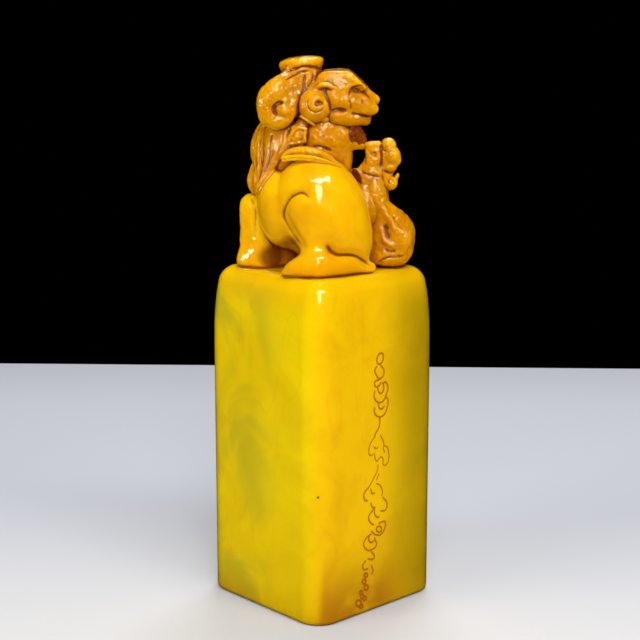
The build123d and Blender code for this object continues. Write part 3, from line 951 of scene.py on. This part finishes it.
# %% [markdown]
# The ornament is a chain of common cloud and leaf scrolls. Its strokes are written down
# as the hand would draw them, in points of the photograph, and a curve runs through each.
# At the foot of the face they end in plain curls.

# %% Strokes of the ornament
def ring(x, y, wide, high, lean=0.0):
    """A closed ring as a stroke: an oval of half sizes, leaning to the right."""
    t = np.linspace(0, 2 * math.pi, 13)
    return np.stack([x + wide * np.cos(t) + lean * np.sin(t), y - high * np.sin(t)], 1)


strokes = [
    ring(380.4, 358.7, 3.2, 5.6, 1.0),
    [(377, 366.6), (374.9, 370.7), (376.1, 374), (377.8, 377.3), (379.9, 379.4)],
    [(381.1, 365.7), (384, 369.9), (383.6, 375.7), (380.3, 379)],
    [(379, 380.2), (375.3, 381.5), (374.9, 385.6), (376.5, 386.9), (379.4, 385.6), (380.7, 383.1)],
    [(377.8, 387.3), (378.6, 391.4), (380.7, 393.5), (383.2, 391.4), (384, 386.5), (382.8, 383.1)],
    [(383.6, 383.1), (386.1, 382.3), (388.1, 386.5), (387.7, 391.4), (386.1, 394.8)],
    [(374.9, 391.4), (374.5, 397.2), (376.5, 401.4), (379.9, 402.6), (383.2, 401.4), (385.7, 397.2),
     (386.5, 395.6)],
    [(385.7, 396.4), (388.1, 399.7), (388.1, 404.7), (386.5, 410.5)],
    [(378.6, 403), (379.4, 408), (382.3, 408.8), (384.4, 406.4)],
    [(374.9, 408), (374.5, 412.2), (376.5, 415.5), (379.9, 417.1), (383.6, 415.5), (386.1, 412.2)],
    [(379.9, 418), (379.9, 423.8), (378.6, 428.7), (375.7, 433.7), (374.9, 437)],
    [(374.9, 437), (371.6, 442), (369.5, 447), (369.1, 453.6), (370.7, 455.7), (372.8, 454.9)],
    [(374, 447), (376.1, 448.7), (378.2, 447.4)],
    [(374.5, 453.6), (375.3, 458.6), (376.9, 461.5), (378.6, 459.8)],
    [(380.7, 435.4), (384, 442.8), (383.6, 449.5), (385.2, 452)],
    [(384.8, 445.7), (387.7, 447.8), (389, 453.6), (388.6, 461.1), (385.7, 465.2), (383.2, 464.4),
     (383.2, 459.4), (381.5, 456.9), (379, 458.6)],
    [(378.2, 465.2), (377.4, 471), (374.7, 476.8), (371.7, 482.8), (368.8, 487.7)],
    [(379.2, 473.9), (376.7, 479.8)],
    [(368.8, 487.7), (365.3, 491.7), (363.8, 496.1), (365.3, 500.6), (367.3, 500.6)],
    [(371.2, 489.7), (372.2, 493.7), (374.7, 493.2)],
    [(376.7, 483.8), (380.1, 485.2), (382.6, 490.7), (382.1, 495.6)],
    [(383.1, 497.6), (386.6, 501.6), (387.1, 506.5), (385.1, 510.5), (381.1, 511)],
    [(371.2, 503.6), (372.7, 507.5), (375.2, 507.5)],
    [(373.7, 509.5), (369.8, 514.5), (368.8, 519.4), (371.2, 523.4), (373.7, 524.9)],
    [(374.7, 509.5), (374.7, 514), (377.2, 517.4), (379.2, 516.9)],
    [(379.2, 523.4), (384.6, 521.4), (385.6, 525.3), (383.6, 531.3), (379.7, 535.2), (374.7, 534.3),
     (371.7, 531.3)],
    ring(379.2, 529.3, 2.6, 3.0),
    [(371.2, 534.3), (366.3, 538.2), (363.8, 544.2), (365.8, 549.1), (368.8, 550.6)],
    [(369.3, 536.2), (368.8, 540.2), (371.2, 542.7), (373.7, 541.2)],
    [(374.7, 538.2), (376.7, 544.2), (374.7, 548.1), (369.8, 550.6)],
    [(371.7, 552.1), (374.7, 556), (372.7, 559.5), (368.3, 559)],
    [(365.8, 561), (362.8, 565.9), (364.3, 569.9), (367.8, 568.9)],
    [(371.7, 565.9), (373.2, 570.9), (372.2, 573.9)],
]
curls = [(366, 575.3, 2.0), (364.3, 581.8, 2.2), (366.3, 587.7, 2.5), (361.3, 592.7, 1.8),
         (362.3, 596.6, 2.0), (364.8, 598.6, 2.0), (358.9, 603.6, 3.2), (361.3, 606.5, 2.0)]
print(len(strokes), "strokes and", len(curls), "curls")

# %% [markdown]
# Each stroke is thrown along the camera's rays on to the right face. A bump in the
# material could draw it too, but a real groove also shows in the mesh alone. Each point of
# the face near a stroke is moved in by its distance from it, measured in widths of the
# stroke: the groove is deepest on the stroke and fades out beside it.

# %% Grooves of the ornament
thin_groove, wide_groove, curl_groove = 0.075, 0.105, 0.135
thin_from, thin_to = 430, 490
groove_depth = 0.10


def on_right_face(pixels):
    """The places on the right face, as x and height above the stamp face, seen at pixels."""
    start, rays = photo_rays(pixels)
    reach = (-half_side - start[1]) / rays[:, 1:2]
    return (start + reach * rays)[:, [0, 2]] + (0, block_height)


def nearness(places, line):
    """The distance from each place to a line of points."""
    a, run = line[:-1], np.diff(line, axis=0)
    share = np.einsum("ijk,jk->ij", places[:, None] - a, run) / (run ** 2).sum(1)
    off = places[:, None] - a - np.clip(share, 0, 1)[..., None] * run
    return np.sqrt((off ** 2).sum(2).min(1))


cuts = [(stroke, thin_groove if thin_from < np.mean(np.array(stroke)[:, 1]) < thin_to else wide_groove)
        for stroke in strokes]
cuts += [(ring(x, y, radius * 0.85, radius), curl_groove) for x, y, radius in curls]
right_side = np.arange(columns) < np.argmax(ring_normals[:, 0] > 0)
on_face = right_side & (np.abs(ring_points[:, 0]) < straight_half)
face_places = grid[:, on_face][..., [0, 2]].reshape(-1, 2)
nearest = np.full(len(face_places), far)
for stroke, width in cuts:
    line = on_right_face(smooth(stroke, 4))
    close = np.all((face_places > line.min(0) - 0.5) & (face_places < line.max(0) + 0.5), axis=1)
    nearest[close] = np.minimum(nearest[close], nearness(face_places[close], line) / width)
groove = np.zeros((rows, columns))
groove[:, on_face] = np.clip(1 - (nearest / 2) ** 2, 0, 1).reshape(rows, -1)
grid[..., 1] += groove_depth * groove ** 1.5
cut_places = face_places[nearest < 1]
print("cut from", np.round(cut_places.min(0), 1), "to", np.round(cut_places.max(0), 1), "in x and height")

# %% [markdown]
# The rows become the mesh: every four neighbours are one face, the last column joins the
# first, and a fan of triangles closes each end round one point in the middle.

# %% Block
points = np.vstack([grid.reshape(-1, 3), [(0, 0, 0), (0, 0, block_height)]])
column = np.arange(columns)
after = (column + 1) % columns
step = np.arange(rows - 1)[:, None] * columns
above = step + columns
quads = np.stack([step + column, step + after, above + after, above + column], 2).reshape(-1, 4)
last = (rows - 1) * columns
fans = np.vstack([np.stack([after, column, np.full(columns, len(points) - 2)], 1),
                  np.stack([last + column, last + after, np.full(columns, len(points) - 1)], 1)])
block = new_mesh("block", points * mm, quads, fans)
pieces["block"] = block, np.concatenate([groove.ravel(), [0, 0]])
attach(block, "root")
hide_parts("seal_block")
print("block", len(points), "points,", 2 * len(quads) + len(fans), "triangles")

# %% [markdown]
# Years of handling leave wax and dust in the hollows, so the cut lines are red-brown. The
# crevices are red-brown as well, partly that patina and partly painted shade, and the
# ridges are painted bright, a painted glow of light through the thin stone. Painting that
# by hand couldn't be repeated, and Blender's own Pointiness only feels the nearest faces.
# How enclosed a place is can be measured: fill a block of coarse cells with 1 where there
# is stone, blur it, and read it on the skin. A flat place reads a half, a crevice more and
# a ridge less.

# %% Stone in coarse cells
coarse = 0.3
margin = 2.0
room_low = np.array([-half_side - margin, -half_side - margin, -3.0])
room_high = np.array([half_side + margin, half_side + margin, beast_height + margin])
room_cells = np.ceil((room_high - room_low) / coarse).astype(int)
stone = np.zeros(room_cells, np.float32)

for clay in clays:
    first = np.maximum(np.ceil((clay.low - room_low) / coarse), 0).astype(int)
    last = (clay.low + clay.grain * (np.array(clay.field.shape) - 1) - room_low) / coarse
    last = np.minimum(np.floor(last), room_cells - 1).astype(int)
    part = tuple(slice(a, b) for a, b in zip(first, last))
    cells = np.stack(np.meshgrid(*(np.arange(a, b) for a, b in zip(first, last)), indexing="ij"), -1)
    places = (room_low + cells.reshape(-1, 3) * coarse - clay.low) / clay.grain
    solid = np.clip(0.5 - sampled(clay.field, places) / coarse, 0, 1)
    stone[part] = np.maximum(stone[part], solid.reshape(cells.shape[:3]))
levels = room_low[2] + coarse * np.arange(room_cells[2])
reach_x, reach_y = (np.abs(room_low[i] + coarse * np.arange(room_cells[i])) < half_side for i in range(2))
stone[:, :, levels < 0] = (reach_x[:, None] & reach_y[None])[:, :, None]
near_stone = blurred(blurred(stone, 2), 1)
wide_stone = blurred(blurred(stone, 6), 3)
print("stone fills", round(float(stone.mean()), 2), "of", stone.size, "coarse cells")

# %% [markdown]
# Three numbers are kept on every point as attributes: the stain of the cut lines with the
# painted shade of the crevices, how deep it lies between the forms, which is painted shade,
# and how far it stands out as a ridge, which is a painted glow. The seam round the foot of
# each piece is darkened too, the beard is darkened brown all over, and painted shade lies in
# the hollow beside the left hind leg.

# %% Patina
beard_brown = {"beard_tuft": 0.9}
depth_share = {"right_hindquarters": 0.5}
# Points along the hollow under the rump, beside the left hind leg, where painted shade is put.
shaded_hollow = seen((262, 256, 0), (270, 256, -3), (277, 255, -6), (284, 254, -9), (289, 250, -10.5))
hollow_shade_reach = 1.9
seam_height = 0.5


def over(values, start, gain, most=1.0):
    """How far values lie over a start, times a gain, from 0 to most."""
    return np.clip((values - start) * gain, 0, most)


for name, (piece, depths) in pieces.items():
    places = points_of(piece)[0] / mm - block_height * up
    cells = (places - room_low) / coarse
    inside = np.all((cells > 0) & (cells < room_cells - 1), axis=1)
    close = np.where(inside, sampled(near_stone, cells), 0.5)
    wide = np.where(inside, sampled(wide_stone, cells), 0.5)
    off = np.sqrt(((places[:, None] - shaded_hollow) ** 2).sum(2).min(1))
    hollow_shade = np.clip(1.7 - off / hollow_shade_reach, 0, 1)
    if name == "block":
        on_top = places[:, 2] > -0.2
        # On the top: the stain of the grooves, and painted shade in the crevices round the beast and in the
        # hollow.
        stain_and_shade = np.clip(depths, 0, 1) + on_top * np.clip((close - 0.57) * 5.5 + hollow_shade, 0, 1)
        deep, ridge_glow = np.zeros((2, len(places)))
    else:
        seam = np.clip(1 - places[:, 2] / seam_height, 0, 1)
        # Stain in the cut lines, and painted shade in the crevices, at the foot's seam and in the hollow.
        stain_and_shade = over(close, 0.55, 4.0) + over(depths * depth_share.get(name, 1), 0.006, 13, 0.9) + 0.8 * seam
        stain_and_shade += beard_brown.get(name, 0) + hollow_shade
        # A painted glow on the ridges and thin edges, where light comes through the stone.
        ridge_glow = over(0.47, close, 1.2, 0.3) + over(0.42, wide, 3.5, 0.7)
        # Painted shade between the forms; the beard is darkened brown as well.
        deep = over(wide, 0.53, 4.0) + beard_brown.get(name, 0)
    for kind, values in (("stain_and_shade", np.clip(stain_and_shade, 0, 1)), ("deep", np.clip(deep, 0, 1)), ("ridge_glow", ridge_glow)):
        piece.data.attributes.new(kind, "FLOAT", "POINT").data.foreach_set("value", values.astype(np.float32))
    print(name, "stain_and_shade", round(float(stain_and_shade.mean()), 2), "deep", round(float(deep.mean()), 2))

# %% [markdown]
# The finishes are node materials, written as formulas. A small class stands for a number
# that changes over the surface, so that Python's own signs can be used on it: each sign
# adds one Math node. Drawing the same nodes by hand would hide the formula.

# %% Shader maths
class Shade:
    """A socket of numbers. Each sign adds one Math node."""

    def __init__(self, finish, socket):
        self.finish, self.socket = finish, socket

    def maths(self, operation, *values):
        return self.finish.node("ShaderNodeMath", {"operation": operation}, dict(enumerate(values)))

    def __add__(self, other):
        return self.maths("ADD", self, other)

    def __sub__(self, other):
        return self.maths("SUBTRACT", self, other)

    def __rsub__(self, other):
        return self.maths("SUBTRACT", other, self)

    def __mul__(self, other):
        return self.maths("MULTIPLY", self, other)

    def __neg__(self):
        return self * -1.0

    def __abs__(self):
        return self.maths("ABSOLUTE", self)

    __radd__ = __add__
    __rmul__ = __mul__

    def ramp(self, low, high):
        """0 below low, 1 above high, and an even S between them."""
        return self.finish.node("ShaderNodeMapRange", {"interpolation_type": "SMOOTHSTEP"},
                                {"Value": self, "From Min": low, "From Max": high}, "Result")

# %% [markdown]
# A finish holds the material under construction. Places are read from Object coordinates
# in millimetres, so that a pattern keeps its real size on every piece and sits still.

# %% Finish: a node material under construction
class Finish:
    """A node material, with one method for each kind of node that the stone needs."""

    def __init__(self, name, slot=""):
        self.material = bpy.data.materials.new(name)
        self.material.use_nodes = True
        self.tree = self.material.node_tree
        self.shader = self.tree.nodes["Principled BSDF"]
        self.slot = slot
        self.place = self.node("ShaderNodeVectorMath", {"operation": "SCALE"},
                               {0: self.node("ShaderNodeTexCoord", {}, {}, "Object"), "Scale": 1 / mm})

    def node(self, kind, settings, inputs, output=0):
        """Adds a node, with its settings first and then the values or links of its sockets."""
        node = self.tree.nodes.new(kind)
        for name, value in settings.items():
            setattr(node, name, value)
        for name, value in inputs.items():
            self.fill(node.inputs[name], value)
        return Shade(self, node.outputs[output])

    def fill(self, socket, value):
        """Links a socket to a number that changes over the surface, or sets it to a constant."""
        if isinstance(value, Shade):
            self.tree.links.new(value.socket, socket)
        else:
            socket.default_value = value

    def feed(self, name, value):
        """Fills a socket of the shader."""
        self.fill(self.shader.inputs[name], value)

    def noise(self, size, detail=3.0, rough=0.55, twist=0.0, stretch=(1, 1, 1)):
        """Soft random hills, a size apart in millimetres, from 0 to 1."""
        scale = [s / size for s in stretch]
        place = self.node("ShaderNodeMapping", {}, {"Vector": self.place, "Scale": scale})
        return self.node("ShaderNodeTexNoise", {}, {"Vector": place, "Scale": 1.0, "Detail": detail,
                                                    "Roughness": rough, "Distortion": twist})

    def axis(self, name):
        """The x, y or z of the place in millimetres."""
        return self.node("ShaderNodeSeparateXYZ", {}, {0: self.place}, name)

    def attribute(self, name):
        """A number kept on the piece's points."""
        return self.node("ShaderNodeAttribute", {"attribute_name": name}, {}, "Fac")

    def mix(self, share, first, second):
        """A colour between two colours."""
        colours = [c if isinstance(c, Shade) else (*c, 1.0) for c in (first, second)]
        return self.node("ShaderNodeMix", {"data_type": "RGBA"}, {0: share, 6: colours[0], 7: colours[1]}, 2)

    def bump(self, height, distance, strength=1.0, normal=None):
        """Raises the surface by a height from 0 to 1 times a distance in millimetres."""
        inputs = {"Height": height, "Distance": distance * mm, "Strength": strength}
        if normal:
            inputs["Normal"] = normal
        return self.node("ShaderNodeBump", {}, inputs)

    def wear(self, *names):
        """Puts the finish on pieces."""
        for name in names:
            piece = pieces[name][0]
            piece.data.materials.clear()
            piece.data.materials.append(self.material)
        print(self.material.name, "of", len(self.tree.nodes), "nodes on", ", ".join(names))

# %% [markdown]
# Polished soapstone lets light a little way in, which scatters and comes out yellow. A
# plain glossy yellow would look like plastic, so the shader's subsurface does that: red
# goes furthest. A clear coat stands for the wax, and the tint keeps the polish golden.

# %% Stone
def stone_finish(name, slot, light_depth=1.2, glow=0.35, wax=0.9):
    """A translucent, waxed stone: light_depth is how far the light goes in, in millimetres, glow
    is the share of light that goes in, and wax is the weight of the clear coat."""
    finish = Finish(name, slot)
    constants = {
        "Subsurface Weight": glow,
        "Subsurface Radius": (1.0, 0.45, 0.05),
        "Subsurface Scale": light_depth * mm,
        "IOR": 1.55,
        "Coat Weight": wax,
        "Coat Roughness": 0.04,
        "Specular Tint": (1.0, 0.78, 0.35, 1.0),
    }
    for socket, value in constants.items():
        finish.feed(socket, value)
    return finish


print("red goes 1.2 mm deep, green", round(1.2 * 0.45, 2), "mm and blue", round(1.2 * 0.05, 2), "mm")

# %% [markdown]
# The block is the yellow part of the stone. Its left face carries grey-green clouds and
# faint orange veins, the front edge is a warmer band, and the right face goes olive and
# darker towards the far edge, which is partly the stone's olive tone and partly painted
# shade, and brown-orange at the foot. Each of these is a layer of colour with its own share,
# because a picture of the stone would tie it to one view.

# %% Finish of the block
sunny_yellow, lemon_yellow = (0.95, 0.68, 0.001), (0.82, 0.56, 0.001)
warm_yellow, warm_orange = (0.93, 0.55, 0.001), (0.84, 0.46, 0.001)
grey_green, olive_and_shade_green = (0.52, 0.42, 0.012), (0.26, 0.185, 0.001)
foot_brown, top_orange, vein_orange = (0.42, 0.15, 0.003), (0.93, 0.50, 0.001), (0.82, 0.33, 0.004)
speck_brown, groove_and_shade_brown = (0.10, 0.05, 0.01), (0.40, 0.08, 0.001)

finish = stone_finish("polished yellow stone", "polished_stone")
x, y, z = (finish.axis(n) for n in "XYZ")
left_face = (-x).ramp(12.5, 14.2)
colour = finish.mix(finish.noise(16, 4, 0.6, 0.6).ramp(0.35, 0.7), lemon_yellow, sunny_yellow)
cloud = finish.noise(13, 3, 0.5, 0.8, (1, 1, 0.8)).ramp(0.40, 0.62) * y.ramp(-9, 4)
colour = finish.mix(cloud * 0.75 * left_face, colour, grey_green)
warm = finish.mix(finish.noise(9, 4, 0.6, 0.5).ramp(0.4, 0.7), warm_yellow, warm_orange)
colour = finish.mix((-y).ramp(11.5, 15.0), colour, warm)
# Olive tone and painted shade: the right face darkens towards its far edge.
olive = x.ramp(-2.0, 11.0) * (0.5 + 0.55 * finish.noise(12, 3, 0.5, 0.5))
colour = finish.mix(olive * 0.9, colour, olive_and_shade_green)
foot = (16.0 - left_face * 7.0 - z).ramp(1.0, 15.0) * (1 - x.ramp(-1.0, 9.0) * 0.8)
colour = finish.mix(foot * finish.noise(10, 4, 0.6).ramp(0.1, 0.55) * 0.9, colour, foot_brown)
colour = finish.mix(z.ramp(block_height - 7, block_height - 1) * 0.6, colour, top_orange)
vein = 1 - abs(finish.noise(15, 2, 0.5, 1.6, (1, 1, 0.22)) - 0.5).ramp(0.0, 0.012)
colour = finish.mix(vein * 0.2, colour, vein_orange)
speck_place = seen((318, 497.6, -19.35))[0] + block_height * up
off = finish.node("ShaderNodeVectorMath", {"operation": "DISTANCE"},
                  {0: finish.place, 1: speck_place}, "Value")
colour = finish.mix((1 - off.ramp(0.16, 0.3)) * 0.9, colour, speck_brown)
# The brown stain of the ornament's grooves, and on the top painted shade in the crevices round the beast and
# in the hollow.
stain_and_shade = finish.attribute("stain_and_shade")
colour = finish.mix(stain_and_shade.ramp(0.08, 0.7) * 0.85, colour, groove_and_shade_brown)
finish.feed("Base Color", colour)
finish.feed("Roughness", 0.10 + 0.10 * finish.noise(5, 4, 0.6) + 0.05 * stain_and_shade)
finish.feed("Normal", finish.bump(finish.noise(3.5, 3, 0.5), 0.02, 0.35))
finish.wear("block")

# %% [markdown]
# The thigh and the rump are polished like the block, in a more golden yellow. Painted
# shade turns them orange near the block and brown between the forms, and the cut lines are
# dark with stain and painted shade.

# %% Finish of the smooth carving
finish = stone_finish("polished golden stone", "smooth_carved_stone")
stain_and_shade, deep = (finish.attribute(n) for n in ("stain_and_shade", "deep"))
colour = finish.mix(finish.noise(6, 4, 0.6, 0.4).ramp(0.35, 0.7), (0.93, 0.49, 0.001), (0.83, 0.39, 0.001))
# Painted shade: orange towards the block, brown between the forms; then the stain of the cut lines with the
# painted shade of the crevices.
for share, layer in (
        ((block_height + 9 - finish.axis("Z")).ramp(1, 9) * 0.6, (0.86, 0.36, 0.001)),
        (deep.ramp(0.1, 0.8) * 0.85, (0.50, 0.13, 0.001)),
        (stain_and_shade.ramp(0.1, 0.8) * 0.9, (0.24, 0.05, 0.001))):
    colour = finish.mix(share, colour, layer)
finish.feed("Base Color", colour)
finish.feed("Roughness", 0.12 + 0.08 * finish.noise(3, 4, 0.6) + 0.25 * stain_and_shade)
finish.feed("Normal", finish.bump(finish.noise(1.8, 4, 0.55), 0.03, 0.4))
finish.wear("right_hindquarters", "left_hind_leg")

# %% [markdown]
# The head, mane, scroll and front legs are worked all over with small chisels. The stone
# is honey-amber there and shines in many small points, because the tool leaves a rough
# skin under the wax. Two sizes of bump make those points. The forms are thin, so more of
# the light goes through them, and the wax is worn thinner than on the block.

# %% Finish of the tooled carving
finish = stone_finish("tooled amber stone", "tooled_carved_stone", light_depth=1.0, glow=0.85, wax=0.55)
stain_and_shade, deep, ridge_glow = (finish.attribute(n) for n in ("stain_and_shade", "deep", "ridge_glow"))
colour = finish.mix(finish.noise(3.5, 4, 0.6, 0.5).ramp(0.35, 0.7), (0.68, 0.29, 0.001), (0.53, 0.185, 0.001))
# Darker blotches, a painted glow on the ridges, painted shade between the forms, and the stain of the cut
# lines with the painted shade of the crevices.
for share, layer in (
        (finish.noise(2.2, 3, 0.6, 0.8).ramp(0.58, 0.74) * 0.35, (0.44, 0.12, 0.001)),
        (ridge_glow * 0.75, (0.86, 0.48, 0.002)),
        (deep.ramp(0.05, 0.8) * 0.8, (0.46, 0.12, 0.001)),
        (stain_and_shade.ramp(0.03, 0.6) * 0.92, (0.18, 0.026, 0.001))):
    colour = finish.mix(share, colour, layer)
finish.feed("Base Color", colour)
finish.feed("Roughness", 0.05 + 0.10 * finish.noise(0.8, 3, 0.6) + 0.1 * stain_and_shade)
worked = 0.1 + 0.9 * finish.noise(2.2, 2, 0.5).ramp(0.38, 0.62)
dents = finish.bump(finish.noise(1.2, 1, 0.5, 0.8), 0.26, 0.9)
finish.feed("Normal", finish.bump(finish.noise(0.55, 1, 0.5) * worked, 0.13, 0.9, dents))
finish.wear(*(name for name in pieces if name not in ("block", "right_hindquarters", "left_hind_leg")))

# %% [markdown]
# The seal stands on a pale table top, whose far edge is in view, before a dark room, and
# its colour is painted darker away from the camera as painted shade.
# A single square would do, but its sharp rim would look cut out, so the rim is bent down.

# %% Table
table_half = 178.0
table_round = 3.0
clearance = 0.02


def table():
    """A level sheet turned to the camera: a grid of u and w, whose rim is bent down."""
    stops = np.concatenate([[-1.0, -0.995], np.linspace(-0.98, 0.98, 9), [0.995, 1.0]]) * table_half
    u, w = np.meshgrid(stops, stops, indexing="ij")
    beyond = np.maximum(np.maximum(np.abs(u), np.abs(w)) - (table_half - table_round), 0)
    z = -clearance - table_round * (1 - np.sqrt(np.maximum(1 - (beyond / table_round) ** 2, 0)))
    points = u[..., None] * along_u + w[..., None] * along_w + z[..., None] * up
    count = len(stops)
    start = (np.arange(count - 1)[:, None] * count + np.arange(count - 1)).ravel()
    return points.reshape(-1, 3), np.stack([start, start + count, start + count + 1, start + 1], 1)


table_points, table_quads = table()
floor = new_mesh("table_top", table_points * mm, table_quads)
floor.visible_glossy = False
paper = Finish("pale table")
# Painted shade: the table darkens away from the camera, as the light falls off.
painted_falloff = (paper.axis("X") + paper.axis("Y")) * math.sqrt(0.5) + 4 * paper.noise(30, 2, 0.5)
paper.feed("Base Color", paper.mix(painted_falloff.ramp(-40, 60), (0.64, 0.635, 0.64), (0.525, 0.54, 0.595)))
paper.feed("Roughness", 0.7 + 0.1 * paper.noise(0.5, 2, 0.6))
paper.feed("Normal", paper.bump(paper.noise(0.6, 3, 0.6), 0.05, 0.3))
paper.feed("Specular IOR Level", 0.3)
floor.data.materials.append(paper.material)
print("the table is", 2 * table_half, "mm wide, of", len(table_quads), "faces")

# %% [markdown]
# The light is a wide soft panel above the camera and a lower strip, which the polish
# mirrors as the highlights on the thigh, and weaker panels on the right, on the left and
# behind. A panel's power is worked out from the level it should give: a white card facing
# a panel at a distance d is fully bright at pi squared times d squared.

# %% Light
panel_aim_height = 60.0


def panel(name, side, height, distance, wide, tall, level, mirrored=True):
    """A soft panel: degrees to the right of the camera, degrees above level, its level of light,
    and whether the polish mirrors it."""
    heading = camera_turn + math.radians(side)
    tilt = math.radians(height)
    back = np.array([math.sin(heading) * math.cos(tilt), -math.cos(heading) * math.cos(tilt), math.sin(tilt)])
    right = np.array([math.cos(heading), math.sin(heading), 0])
    place = back * distance + (0, 0, panel_aim_height)
    light = bpy.data.objects.new(name, bpy.data.lights.new(name, "AREA"))
    bpy.context.scene.collection.objects.link(light)
    light.data.shape = "RECTANGLE"
    light.data.size, light.data.size_y = wide * mm, tall * mm
    light.data.energy = level * (math.pi * distance * mm) ** 2
    light.visible_glossy = mirrored
    light.visible_camera = False
    rows = [[right[i], np.cross(back, right)[i], back[i], place[i] * mm] for i in range(3)]
    light.matrix_world = Matrix(rows + [[0, 0, 0, 1]])
    print(name, np.round(place), round(light.data.energy, 2), "W")
    return light


panel("wide panel", 19, 56, 480, 330, 80, 0.53)
panel("strip", 5, 27, 480, 120, 280, 0.35)
panel("right panel", 50, 25, 600, 200, 300, 0.16, False)
panel("left panel", -60, 30, 600, 250, 300, 0.30, False)
panel("back panel", 170, 60, 480, 200, 120, 0.45)

# %% [markdown]
# Two small low panels make the white points on the tooled forms. They would also put hard
# spots on the polished thigh and block, so light linking lets them shine on the tooled
# pieces and the left hind leg only.

# %% Glints
tooled = bpy.data.collections.new("tooled pieces")
for name, (piece, _) in pieces.items():
    if name not in ("block", "right_hindquarters"):
        tooled.objects.link(piece)
glints = [panel("left glint", -75, 9, 500, 40, 110, 0.22), panel("right glint", 62, 14, 500, 35, 80, 0.16)]
for light in glints:
    light.light_linking.receiver_collection = tooled

# %% [markdown]
# The room itself is dark in the picture and in the polish, but its walls give back a
# little even light. So the world's light is switched off for the rays that look at it
# straight from the camera, in a mirror or through a material, and left on for the others.

# %% Dark room
room_light = 0.28
world = bpy.data.worlds.new("dark room")
bpy.context.scene.world = world
world.use_nodes = True
tree = world.node_tree
ray_kinds = tree.nodes.new("ShaderNodeLightPath")
looking = ray_kinds.outputs["Is Camera Ray"]
for kind in ("Is Glossy Ray", "Is Transmission Ray"):
    either = tree.nodes.new("ShaderNodeMath")
    either.operation = "MAXIMUM"
    tree.links.new(looking, either.inputs[0])
    tree.links.new(ray_kinds.outputs[kind], either.inputs[1])
    looking = either.outputs[0]
strength = tree.nodes.new("ShaderNodeMath")
strength.operation = "MULTIPLY_ADD"
strength.inputs[1].default_value = -room_light
strength.inputs[2].default_value = room_light
tree.links.new(looking, strength.inputs[0])
sky = tree.nodes["Background"]
sky.inputs["Color"].default_value = (1, 1, 1, 1)
tree.links.new(strength.outputs[0], sky.inputs["Strength"])
bpy.context.scene.view_settings.view_transform = "Standard"
print("the walls give", room_light, "of a white card's light")
